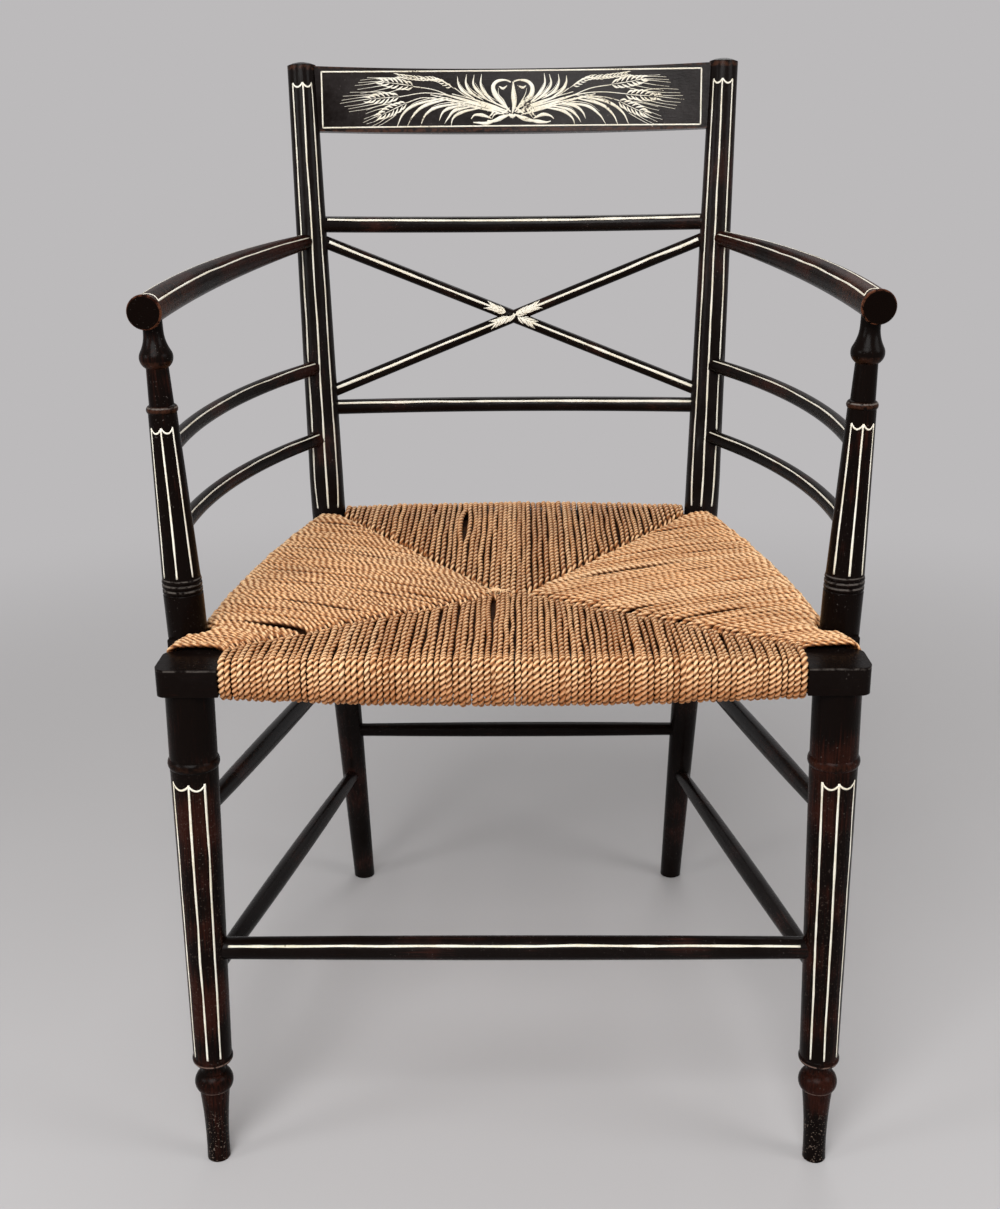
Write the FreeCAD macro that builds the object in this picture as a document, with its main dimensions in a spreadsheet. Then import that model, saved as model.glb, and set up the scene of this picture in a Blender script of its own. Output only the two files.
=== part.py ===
import FreeCAD, Part
import math
import os
import Sketcher

# An ebonised elbow chair with a crossed back and a rush seat, in millimetres.
# X runs to the right seen from the front, Y to the back and Z up from the floor.

doc = FreeCAD.newDocument("crossed_back_elbow_chair")

# Driving dimensions, grouped by piece
chair_sizes = {
    # Plan of the chair: the line of the front legs, the posts and their rake
    "leg_line": 240.6,
    "leg_spread": 477.0,
    "leg_splay": 6.0,
    "post_foot_spread": 344.0,
    "post_top_spread": 396.0,
    "post_foot_set": 478.0,
    "post_knee_set": 415.0,
    "post_top_set": 465.0,
    "knee_height": 440.0,
    "chair_height": 860.0,
    # Back posts
    "post_foot_dia": 22.0,
    "post_seat_dia": 33.0,
    "post_top_dia": 26.5,
    "post_dome": 3.0,
    "knee_radius": 260.0,
    "foot_trim": 8.0,
    # Front legs
    "peg_foot_dia": 18.6,
    "peg_waist_dia": 19.2,
    "peg_waist_height": 34.0,
    "peg_top_dia": 24.6,
    "peg_height": 68.0,
    "foot_bead_dia": 30.8,
    "foot_bead_thick": 15.0,
    "foot_neck_dia": 16.8,
    "foot_neck_length": 9.5,
    "low_ring_dia": 32.4,
    "low_ring_thick": 6.0,
    "shaft_low_dia": 30.6,
    "shaft_high_dia": 36.0,
    "high_ring_dia": 39.0,
    "high_ring_thick": 8.0,
    "high_ring_height": 355.0,
    "drum_dia": 36.0,
    "bead_lip": 1.4,
    "leg_tenon_dia": 20.0,
    "leg_tenon_length": 15.0,
    # Seat rails and the blocks at the ends of the front rail
    "seat_rail_top": 435.0,
    "rail_thick": 21.5,
    "block_width": 46.0,
    "block_depth": 40.0,
    "block_inset": 2.0,
    "block_corner": 8.0,
    "wrap_inset": 6.0,
    "side_rail_front_out": 247.0,
    "side_rail_back_out": 191.0,
    "side_rail_width": 23.0,
    "side_rail_bow": 8.0,
    "back_rail_depth": 22.0,
    "rail_tenon_dia": 12.0,
    "rail_tenon_length": 8.5,
    "back_tenon_length": 11.0,
    "post_gap": 1.0,
    # Boss of the side rail, and the turned arm support that stands on it
    "boss_length": 32.0,
    "boss_margin": 12.5,
    "support_set": 60.0,
    "support_base_out": 250.5,
    "support_top_out": 259.0,
    "support_tenon_dia": 14.0,
    "support_tenon_length": 15.0,
    "support_base_dia": 30.4,
    "support_base_height": 34.0,
    "groove_depth": 0.9,
    "groove_width": 2.2,
    "groove_pitch": 4.2,
    "support_low_dia": 29.0,
    "support_high_dia": 21.2,
    "support_ring_height": 175.5,
    "support_ring_dia": 23.4,
    "support_ring_thick": 6.0,
    "column_low_dia": 18.4,
    "column_high_dia": 16.6,
    "vase_height": 213.0,
    "vase_dia": 24.8,
    "vase_thick": 15.0,
    "vase_hollow": 0.9,
    "vase_neck_dia": 14.8,
    "vase_neck_length": 13.5,
    "arm_tenon_dia": 10.0,
    "arm_tenon_length": 9.0,
    # Arms
    "arm_rear_height": 699.0,
    "arm_front_height": 682.5,
    "arm_front_out": 260.0,
    "arm_front_set": 49.6,
    "arm_bow": 16.0,
    "arm_rear_dia": 13.0,
    "arm_middle_dia": 21.5,
    "arm_front_dia": 23.0,
    "arm_bead_rise": 1.3,
    "arm_bead_width": 5.4,
    "arm_peg_dia": 9.0,
    "arm_peg_length": 18.0,
    # Curved rails under the arms
    "high_side_rear": 580.0,
    "high_side_front": 578.5,
    "low_side_rear": 512.0,
    "low_side_front": 514.5,
    "side_bow": 23.0,
    "side_bar_dia": 13.4,
    # Crest rail, back rails and the crossed bars, all bent to one bow
    "back_bow": 30.0,
    "crest_drop": 33.0,
    "crest_depth": 58.5,
    "crest_thick": 14.0,
    "crest_tenon_thick": 8.0,
    "crest_tenon_depth": 42.0,
    "high_rail_drop": 146.5,
    "high_rail_dia": 15.2,
    "low_rail_height": 540.5,
    "low_rail_dia": 14.4,
    "cross_high_gap": 11.5,
    "cross_low_gap": 11.0,
    "cross_dia": 12.0,
    "rail_stop": 4.0,
    "cross_stop": 9.0,
    # Stretchers
    "front_stretcher_height": 194.5,
    "front_stretcher_dia": 19.2,
    "front_stretcher_end_dia": 17.4,
    "low_stretcher_front": 168.0,
    "low_stretcher_back": 133.0,
    "high_stretcher_front": 308.0,
    "high_stretcher_back": 272.0,
    "side_stretcher_dia": 17.0,
    "side_stretcher_end_dia": 13.6,
    "back_stretcher_height": 187.0,
    "back_stretcher_dia": 15.6,
    "back_stretcher_end_dia": 13.6,
    "stretcher_stop": 4.0,
    "bar_end_length": 16.0,
    # Rush seat
    "rush_wrap": 5.5,
    "rush_roll": 9.5,
    "rush_dish": 6.0,
    "rush_seam_set": 165.0,
    "rush_bridge": 22.0,
    "rush_seam_width": 8.0,
    # Room left in the joints, and what is left on to be shaped to a flat face
    "joint_gap": 0.15,
    "socket_gap": 0.4,
    "soft_gap": 0.6,
    "shoulder_trim": 1.0,
}

sheet = doc.addObject("Spreadsheet::Sheet", "Sizes")
for row, (alias, number) in enumerate(chair_sizes.items(), start=1):
    sheet.set(f"A{row}", alias.replace("_", " "))
    sheet.set(f"B{row}", str(number))
    sheet.setAlias(f"B{row}", alias)
doc.recompute()


# A size that knows both its value and the sheet expression that gives it
class Size:
    def __init__(self, value, text):
        self.value = value
        self.text = text

    def __add__(self, other):
        return Size(self.value + value_of(other), f"({self.text} + {text_of(other)})")

    def __sub__(self, other):
        return Size(self.value - value_of(other), f"({self.text} - {text_of(other)})")

    def __mul__(self, other):
        return Size(self.value * value_of(other), f"({self.text} * {text_of(other)})")

    def __truediv__(self, other):
        return Size(self.value / value_of(other), f"({self.text} / {text_of(other)})")

    def __rtruediv__(self, other):
        return Size(value_of(other) / self.value, f"({text_of(other)} / {self.text})")

    def __neg__(self):
        return Size(-self.value, f"(-1 * {self.text})")

    __radd__ = __add__
    __rmul__ = __mul__


def value_of(item):
    return item.value if isinstance(item, Size) else float(item)


def text_of(item):
    return item.text if isinstance(item, Size) else repr(float(item))


def size(alias):
    return Size(float(sheet.get(alias)), f"Sizes.{alias}")


def root(item):
    return Size(math.sqrt(item.value), f"sqrt({item.text})")


def arc_sine(item):
    return Size(math.degrees(math.asin(item.value)), f"asin({item.text})")


def arc_tangent(item):
    return Size(math.degrees(math.atan(item.value)), f"atan({item.text})")


def degrees(item):
    return Size(math.degrees(item.value), f"({item.text} * 1 rad)")


def tangent(angle):
    return Size(math.tan(math.radians(angle.value)), f"tan({angle.text})")


def vector(point):
    return FreeCAD.Vector(*[value_of(item) for item in point])


def distance(start, end):
    steps = [b - a for a, b in zip(start, end)]
    return root(steps[0] * steps[0] + steps[1] * steps[1] + steps[2] * steps[2])


def along(start, end, part):
    return tuple(a + (b - a) * part for a, b in zip(start, end))


def stand(point, direction):
    rotation = FreeCAD.Rotation(FreeCAD.Vector(0, 0, 1), direction)
    return FreeCAD.Placement(point, rotation)


def lay(point, x_axis, y_axis):
    z_axis = x_axis.cross(y_axis)
    return FreeCAD.Placement(point, FreeCAD.Rotation(x_axis, y_axis, z_axis, "XYZ"))


def origin_plane(body, role):
    return next(item for item in body.Origin.OriginFeatures if item.Role == role)


def attached_sketch(body, name, role):
    sketch = body.newObject("Sketcher::SketchObject", name)
    sketch.AttachmentSupport = [(origin_plane(body, role), "")]
    sketch.MapMode = "FlatFace"
    return sketch


def pin_point(sketch, geometry, position, point):
    for kind, axis, item in (("DistanceX", -2, point[0]), ("DistanceY", -1, point[1])):
        if value_of(item) == 0:
            sketch.addConstraint(Sketcher.Constraint("PointOnObject", geometry, position, axis))
            continue
        number = sketch.addConstraint(Sketcher.Constraint(kind, geometry, position, value_of(item)))
        if isinstance(item, Size):
            sketch.setExpression(f"Constraints[{number}]", item.text)


def flat(point):
    return FreeCAD.Vector(value_of(point[0]), value_of(point[1]), 0)


# Closes an outline of points; a step of two points is an arc through the first to the second
def draw_outline(sketch, steps):
    ends = [step[-2:] for step in steps]
    edges = []
    for step, start in zip(steps, [ends[-1]] + ends[:-1]):
        if len(step) == 2:
            number = sketch.addGeometry(Part.LineSegment(flat(start), flat(step)), False)
            edges.append((number, 1, 2))
            continue
        middle = step[:2]
        end = step[2:]
        turn = (flat(middle) - flat(start)).cross(flat(end) - flat(middle)).z
        first, last = (start, end) if turn > 0 else (end, start)
        number = sketch.addGeometry(Part.Arc(flat(first), flat(middle), flat(last)), False)
        edges.append((number, 1, 2) if turn > 0 else (number, 2, 1))
        mark = sketch.addGeometry(Part.Point(flat(middle)), True)
        pin_point(sketch, mark, 1, middle)
        sketch.addConstraint(Sketcher.Constraint("PointOnObject", mark, 1, number))
    for index, (number, first, last) in enumerate(edges):
        after = edges[(index + 1) % len(edges)]
        sketch.addConstraint(Sketcher.Constraint("Coincident", number, last, after[0], after[1]))
        pin_point(sketch, number, last, ends[index])


# A piece turned on a lathe about its own Z axis
def turned(name, steps):
    body = doc.addObject("PartDesign::Body", name)
    sketch = attached_sketch(body, f"{name}_profile", "XZ_Plane")
    draw_outline(sketch, steps)
    turning = body.newObject("PartDesign::Revolution", f"{name}_turning")
    turning.Profile = sketch
    turning.ReferenceAxis = (sketch, ["V_Axis"])
    turning.Angle = 360
    return body


def bow_radius(chord, bow):
    return (chord * chord / 4 + bow * bow) / (bow * 2)


# A bar bent to an arc in its own XY plane, middle on +X; its section is round, or a board with a depth
def bent_bar(name, radius, sweep, thick, depth=None):
    body = doc.addObject("PartDesign::Body", name)
    sketch = attached_sketch(body, f"{name}_section", "XZ_Plane")
    if depth is None:
        circle = Part.Circle(flat((radius, 0)), FreeCAD.Vector(0, 0, 1), thick.value / 2)
        sketch.addGeometry(circle, False)
        pin_point(sketch, 0, 3, (radius, 0))
        number = sketch.addConstraint(Sketcher.Constraint("Radius", 0, thick.value / 2))
        sketch.setExpression(f"Constraints[{number}]", (thick / 2).text)
    else:
        near = radius - thick / 2
        far = radius + thick / 2
        draw_outline(sketch, [(near, 0), (far, 0), (far, depth), (near, depth)])
    bend = body.newObject("PartDesign::Revolution", f"{name}_bend")
    bend.Profile = sketch
    bend.ReferenceAxis = (sketch, ["V_Axis"])
    bend.Midplane = True
    bend.Angle = sweep.value
    bend.setExpression("Angle", sweep.text)
    return body


# A bent bar set between two points, bowed by a given amount towards a direction
def bowed_between(name, start, end, bow, towards, thick, depth=None, longer=0):
    chord = distance(start, end)
    radius = bow_radius(chord, bow)
    sweep = (arc_sine(chord / (radius * 2)) + degrees(longer / radius)) * 2
    bar = bent_bar(name, radius, sweep, thick, depth)
    y_axis = (vector(end) - vector(start)).normalize()
    x_axis = (towards - y_axis * towards.dot(y_axis)).normalize()
    middle = (vector(start) + vector(end)) / 2
    centre = middle + x_axis * (bow.value - radius.value)
    if depth is not None:
        centre = centre - x_axis.cross(y_axis) * (depth.value / 2)
    bar.Placement = lay(centre, x_axis, y_axis)
    return bar


# A straight turned bar between two points, swelling to its middle, with a plain length at each end
def straight_bar(name, start, end, end_dia, middle_dia, plain, longer=0, wider=0):
    length = distance(start, end)
    end_radius = end_dia / 2 + wider
    middle_radius = middle_dia / 2 + wider
    run = length + longer * 2
    bar = turned(name, [
        (0, 0),
        (end_radius, 0),
        (end_radius, plain + longer),
        (middle_radius, run / 2, end_radius, run - plain - longer),
        (end_radius, run),
        (0, run),
    ])
    direction = (vector(end) - vector(start)).normalize()
    bar.Placement = stand(vector(start) - direction * value_of(longer), direction)
    return bar


def cylinder(name, radius, length, point, direction):
    item = doc.addObject("Part::Cylinder", name)
    item.setExpression("Radius", radius.text)
    item.setExpression("Height", length.text)
    item.Placement = stand(point, direction)
    return item


def fused(name, items):
    joined = doc.addObject("Part::MultiFuse", name)
    joined.Shapes = items
    joined.Refine = True
    return joined


def cut_by(name, blank, tools):
    result = blank
    for index, tool in enumerate(tools, start=1):
        cut = doc.addObject("Part::Cut", f"{name}_{index}")
        cut.Base = result
        cut.Tool = tool
        result = cut
    return result


def padded_outline(name, points, thickness):
    body = doc.addObject("PartDesign::Body", name)
    sketch = attached_sketch(body, f"{name}_outline", "XY_Plane")
    draw_outline(sketch, points)
    pad = body.newObject("PartDesign::Pad", f"{name}_pad")
    pad.Profile = sketch
    pad.Length = thickness.value
    pad.setExpression("Length", thickness.text)
    return body


def round_edges(body, name, wanted, radius):
    doc.recompute()
    base = body.Tip
    names = [f"Edge{i}" for i, edge in enumerate(base.Shape.Edges, start=1) if wanted(edge)]
    fillet = body.newObject("PartDesign::Fillet", name)
    fillet.Base = (base, names)
    fillet.Radius = radius.value
    fillet.setExpression("Radius", radius.text)
    body.Tip = fillet


nodes = []


def finish_node(item, label):
    item.Label = label
    nodes.append(item)


up = FreeCAD.Vector(0, 0, 1)
back = FreeCAD.Vector(0, 1, 0)
sides = (("left", -1), ("right", 1))
zero = size("leg_line") * 0

joint_gap = size("joint_gap")
socket_gap = size("socket_gap")
soft_gap = size("soft_gap")
wider_dia = joint_gap * 2
leg_line_y = -size("leg_line")
leg_x = size("leg_spread") / 2
rail_top = size("seat_rail_top")
rail_thick = size("rail_thick")
rail_bottom = rail_top - rail_thick
knee_y = leg_line_y + size("post_knee_set")


# A point on the axis of a back post, at a height; the post bends at its knee
def post_point(side, height):
    foot_x = size("post_foot_spread") / 2
    top_x = size("post_top_spread") / 2
    knee = size("knee_height")
    total = size("chair_height")
    x = foot_x + (top_x - foot_x) * (height / total)
    if height.value < knee.value:
        y = knee_y + (size("post_foot_set") - size("post_knee_set")) * ((knee - height) / knee)
    else:
        y = knee_y + (size("post_top_set") - size("post_knee_set")) * ((height - knee) / (total - knee))
    return (x * side, y, height)


# The front legs lean out a little towards the floor
def leg_point(side, height):
    lean = size("leg_splay") * ((rail_bottom - height) / rail_bottom)
    return ((leg_x + lean) * side, leg_line_y, height)


# The axis of an arm support leans out as it rises from the boss to the middle of the arm
def support_point(side, height):
    rise = (height - rail_top) / (size("arm_front_height") - rail_top)
    lean = (size("support_top_out") - size("support_base_out")) * rise
    return ((size("support_base_out") + lean) * side, leg_line_y + size("support_set"), height)


def stopped(start, end, stop):
    share = stop / distance(start, end)
    return along(start, end, share), along(end, start, share)


# The bars of the back bow square to the raked posts
rake = vector(post_point(1, size("chair_height"))) - vector(post_point(1, size("knee_height")))
rake = FreeCAD.Vector(0, rake.y, rake.z).normalize()
bow_back = FreeCAD.Vector(0, rake.z, -rake.y)

# A bar is made twice: once as itself and once a little longer and wider, to cut its sockets
fits = (("", zero, zero), ("_socket", socket_gap, joint_gap))
post_sockets = {side: [] for side in (-1, 1)}
leg_sockets = {side: [] for side in (-1, 1)}
support_sockets = {side: [] for side in (-1, 1)}

# Heights in the back: the upper pieces keep their place below the tops of the posts
crest_height = size("chair_height") - size("crest_drop")
high_rail_height = size("chair_height") - size("high_rail_drop")
low_rail_height = size("low_rail_height")
cross_high_height = high_rail_height - size("cross_high_gap")
cross_low_height = low_rail_height + size("cross_low_gap")

# Curved bars of the back: heights at the left and right posts, room to the post axes, diameter
back_bars = {
    "upper_back_rail": (high_rail_height, high_rail_height, "rail_stop", "high_rail_dia"),
    "lower_back_rail": (low_rail_height, low_rail_height, "rail_stop", "low_rail_dia"),
    "rising_cross_bar": (cross_low_height, cross_high_height, "cross_stop", "cross_dia"),
    "falling_cross_bar": (cross_high_height, cross_low_height, "cross_stop", "cross_dia"),
}
back_pieces = {}
for node, (left, right, stop, dia) in back_bars.items():
    start, end = stopped(post_point(-1, left), post_point(1, right), size(stop))
    for suffix, longer, wider in fits:
        piece = bowed_between(f"{node}_bar{suffix}", start, end, size("back_bow"), bow_back,
                              size(dia) + wider * 2, None, longer)
        back_pieces[node + suffix] = piece
    for side in (-1, 1):
        post_sockets[side].append(back_pieces[f"{node}_socket"])
for node in ("upper_back_rail", "lower_back_rail"):
    finish_node(back_pieces[node], node)

# The crossed bars are halved into each other: the rising bar keeps its front half
cross_middle = along(post_point(-1, cross_low_height), post_point(1, cross_high_height), 0.5)
crossing = vector(cross_middle) + bow_back * size("back_bow").value
lap_width = size("cross_dia") * 5
laps = (("rising_cross_bar", "falling_cross_bar", bow_back),
        ("falling_cross_bar", "rising_cross_bar", -bow_back))
for node, other, facing in laps:
    room = doc.addObject("Part::Box", f"{node}_lap_room")
    for side_name, extent in (("Length", lap_width), ("Width", lap_width), ("Height", size("cross_dia"))):
        room.setExpression(side_name, extent.text)
    across = FreeCAD.Vector(1, 0, 0)
    upward = facing.cross(across)
    corner = crossing - (across + upward) * (lap_width.value / 2) - facing * (joint_gap.value / 2)
    room.Placement = lay(corner, across, upward)
    lap = doc.addObject("Part::Common", f"{node}_lap")
    lap.Base = back_pieces[f"{other}_socket"]
    lap.Tool = room
    finish_node(cut_by(f"{node}_halved", back_pieces[node], [lap]), node)


# A post: a tapered leg, a bent knee and a tapered upper part with a low dome on top
def post_blank(name, side, grow):
    foot = post_point(side, zero)
    knee = post_point(side, size("knee_height"))
    top = post_point(side, size("chair_height"))
    total = size("chair_height")
    lean = root((top[0] - foot[0]) * (top[0] - foot[0]) + total * total)
    lower_run = lean * (size("knee_height") / total)
    lower_tilt = arc_tangent((size("post_foot_set") - size("post_knee_set")) / lower_run)
    upper_tilt = arc_tangent((size("post_top_set") - size("post_knee_set")) / (lean - lower_run))
    bend = lower_tilt + upper_tilt
    cut_back = size("knee_radius") * tangent(bend / 2)
    foot_radius = size("post_foot_dia") / 2 + grow
    seat_radius = size("post_seat_dia") / 2 + grow
    top_radius = size("post_top_dia") / 2 + grow
    trim = size("foot_trim")
    dome = size("post_dome")
    lower_length = distance(foot, knee) - cut_back
    upper_length = distance(knee, top) - cut_back
    dome_radius = (top_radius * top_radius + dome * dome) / (dome * 2)
    shoulder = top_radius * 0.6
    shoulder_drop = dome_radius - root(dome_radius * dome_radius - shoulder * shoulder)
    lower = turned(f"{name}_leg", [
        (0, 0),
        (foot_radius, 0),
        (foot_radius, trim),
        (seat_radius, trim + lower_length),
        (0, trim + lower_length),
    ])
    upper = turned(f"{name}_upper", [
        (0, 0),
        (seat_radius, 0),
        (top_radius, upper_length - dome),
        (shoulder, upper_length - shoulder_drop, 0, upper_length),
    ])
    up_leg = (vector(knee) - vector(foot)).normalize()
    up_post = (vector(top) - vector(knee)).normalize()
    lower.Placement = stand(vector(foot) - up_leg * trim.value, up_leg)
    upper.Placement = stand(vector(knee) + up_post * cut_back.value, up_post)
    knee_bar = bent_bar(f"{name}_knee", size("knee_radius"), bend, seat_radius * 2)
    inward = (up_post - up_leg).normalize()
    run = (up_post + up_leg).normalize()
    reach = size("knee_radius").value / math.cos(math.radians(bend.value / 2))
    knee_bar.Placement = lay(vector(knee) + inward * reach, -inward, run)
    return fused(name, [lower, knee_bar, upper])


post_blanks = {side: post_blank(f"{word}_post_blank", side, zero) for word, side in sides}
post_rooms = {side: post_blank(f"{word}_post_room", side, joint_gap) for word, side in sides}

# The crest rail: a bowed board, shaped to the posts, with a thinner tenon at each end
crest_left = post_point(-1, crest_height)
crest_right = post_point(1, crest_height)
crest_ends = stopped(crest_left, crest_right, size("rail_stop"))
crest_board = bowed_between("crest_board", *crest_ends, size("back_bow"), bow_back,
                            size("crest_thick"), size("crest_depth"))
crest_shaped = cut_by("crest_shaped", crest_board, [post_rooms[-1], post_rooms[1]])
crest_tenon = bowed_between("crest_tenon", *crest_ends, size("back_bow"), bow_back,
                            size("crest_tenon_thick"), size("crest_tenon_depth"))
crest_socket = bowed_between("crest_socket", *crest_ends, size("back_bow"), bow_back,
                             size("crest_tenon_thick") + wider_dia,
                             size("crest_tenon_depth") + wider_dia, socket_gap)
finish_node(fused("crest_joined", [crest_shaped, crest_tenon]), "crest_rail")
for side in (-1, 1):
    post_sockets[side].append(crest_socket)

# Curved bars under the arms, from the posts to the arm supports
side_bars = {
    "upper_side_bar": ("high_side_rear", "high_side_front"),
    "lower_side_bar": ("low_side_rear", "low_side_front"),
}
for word, side in sides:
    for node, (rear, front) in side_bars.items():
        start, end = stopped(post_point(side, size(rear)), support_point(side, size(front)),
                             size("stretcher_stop"))
        for suffix, longer, wider in fits:
            thick = size("side_bar_dia") + wider * 2
            piece = bowed_between(f"{word}_{node}_bent{suffix}", start, end, size("side_bow"),
                                  FreeCAD.Vector(side, 0, 0), thick, None, longer)
            if suffix:
                post_sockets[side].append(piece)
                support_sockets[side].append(piece)
            else:
                finish_node(piece, f"{word}_{node}")

# Straight stretchers: the two pieces they join, their end and middle diameters
stretchers = [("front_stretcher", leg_point(-1, size("front_stretcher_height")),
               leg_point(1, size("front_stretcher_height")), "front_stretcher",
               leg_sockets[-1], leg_sockets[1]),
              ("back_stretcher", post_point(-1, size("back_stretcher_height")),
               post_point(1, size("back_stretcher_height")), "back_stretcher",
               post_sockets[-1], post_sockets[1])]
for word, side in sides:
    for level, place in (("upper", "high"), ("lower", "low")):
        stretchers.append((f"{word}_{level}_stretcher", leg_point(side, size(f"{place}_stretcher_front")),
                           post_point(side, size(f"{place}_stretcher_back")), "side_stretcher",
                           leg_sockets[side], post_sockets[side]))
for node, start, end, kind, start_host, end_host in stretchers:
    start, end = stopped(start, end, size("stretcher_stop"))
    for suffix, longer, wider in fits:
        piece = straight_bar(f"{node}_turned{suffix}", start, end, size(f"{kind}_end_dia"),
                             size(f"{kind}_dia"), size("bar_end_length"), longer, wider)
        if suffix:
            start_host.append(piece)
            end_host.append(piece)
        else:
            finish_node(piece, node)


# Side seat rails: each narrows to the back and has a boss on its outer edge for the arm support
rail_middle = rail_bottom + rail_thick / 2
block_half = size("block_depth") / 2
block_back_y = leg_line_y + block_half
rail_run = size("post_knee_set") - size("post_seat_dia") / 2 - size("post_gap") - block_half
boss_start = size("support_set") - block_half - size("boss_length") / 2
boss_end = boss_start + size("boss_length")
boss_out = size("support_base_out") + size("boss_margin")
bow_run = (boss_end + rail_run) / 2


def rail_outer(run):
    drop = size("side_rail_front_out") - size("side_rail_back_out")
    return size("side_rail_front_out") - drop * (run / rail_run)


def rail_inner(run):
    return rail_outer(run) - size("side_rail_width")


def rail_centre(side, run):
    return ((rail_outer(run) - size("side_rail_width") / 2) * side, block_back_y + run, rail_middle)


block_sockets = []
rail_pieces = []
side_rails = {}
for word, side in sides:
    rail = padded_outline(f"{word}_rail_board", [
        (rail_inner(zero), 0),
        (rail_outer(zero), 0),
        (rail_outer(boss_start), boss_start),
        (boss_out, boss_start),
        (boss_out, boss_end),
        (rail_outer(boss_end), boss_end),
        (rail_outer(bow_run) + size("side_rail_bow"), bow_run, rail_outer(rail_run), rail_run),
        (rail_inner(rail_run), rail_run),
    ], rail_thick)
    if side > 0:
        rail.Placement = FreeCAD.Placement(vector((0, block_back_y, rail_bottom)), FreeCAD.Rotation())
    else:
        turned_over = FreeCAD.Rotation(back, 180)
        rail.Placement = FreeCAD.Placement(vector((0, block_back_y, rail_top)), turned_over)
    front = vector(rail_centre(side, zero))
    rear = vector(rail_centre(side, rail_run))
    ahead = (rear - front).normalize()
    tenon_radius = size("rail_tenon_dia") / 2
    tenon_length = size("rail_tenon_length")
    tenons = []
    for end_word, point, inward, host in (("front", front, ahead, block_sockets),
                                          ("rear", rear, -ahead, post_sockets[side])):
        start = point - inward * tenon_length.value
        tenons.append(cylinder(f"{word}_rail_{end_word}_tenon", tenon_radius, tenon_length * 2,
                               start, inward))
        socket_start = start - inward * socket_gap.value
        host.append(cylinder(f"{word}_rail_{end_word}_socket", tenon_radius + joint_gap,
                             tenon_length * 2, socket_start, inward))
    joined = fused(f"{word}_rail_joined", [rail] + tenons)
    foot = vector(support_point(side, rail_top))
    upright = (vector(support_point(side, size("arm_front_height"))) - foot).normalize()
    hole_depth = size("support_tenon_length") + socket_gap
    support_hole = cylinder(f"{word}_support_hole", size("support_tenon_dia") / 2 + joint_gap,
                            size("support_tenon_length") * 2, foot - upright * hole_depth.value, upright)
    drilled = cut_by(f"{word}_rail_drilled", joined, [support_hole])
    finish_node(drilled, f"{word}_seat_rail")
    rail_pieces.append(drilled)
    side_rails[side] = drilled


# The line of an arm: an arc bowed outwards, given as a point and the way forward there
def arm_line(side, part):
    rear = post_point(side, size("arm_rear_height"))
    front = (size("arm_front_out") * side, leg_line_y + size("arm_front_set"), size("arm_front_height"))
    chord = distance(rear, front)
    radius = bow_radius(chord, size("arm_bow"))
    half = arc_sine(chord / (radius * 2)).value
    y_axis = (vector(front) - vector(rear)).normalize()
    outward = FreeCAD.Vector(side, 0, 0)
    x_axis = (outward - y_axis * outward.dot(y_axis)).normalize()
    centre = (vector(rear) + vector(front)) / 2 + x_axis * (size("arm_bow").value - radius.value)
    angle = math.radians(half * (2 * part - 1))
    point = centre + (x_axis * math.cos(angle) + y_axis * math.sin(angle)) * radius.value
    return point, y_axis * math.cos(angle) - x_axis * math.sin(angle)


# A round arm that swells towards its flat front end
def arm_blank(name, side, grow):
    rings = []
    ring_count = 5
    for index in range(ring_count):
        part = index / (ring_count - 1)
        swell = (size("arm_rear_dia") * ((1 - part) * (1 - 2 * part))
                 + size("arm_middle_dia") * (4 * part * (1 - part))
                 + size("arm_front_dia") * (part * (2 * part - 1)))
        ring = doc.addObject("Part::Circle", f"{name}_ring_{index}")
        ring.setExpression("Radius", (swell / 2 + grow).text)
        ring.Placement = stand(*arm_line(side, part))
        rings.append(ring)
    loft = doc.addObject("Part::Loft", name)
    loft.Sections = rings
    loft.Solid = True
    return loft


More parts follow.
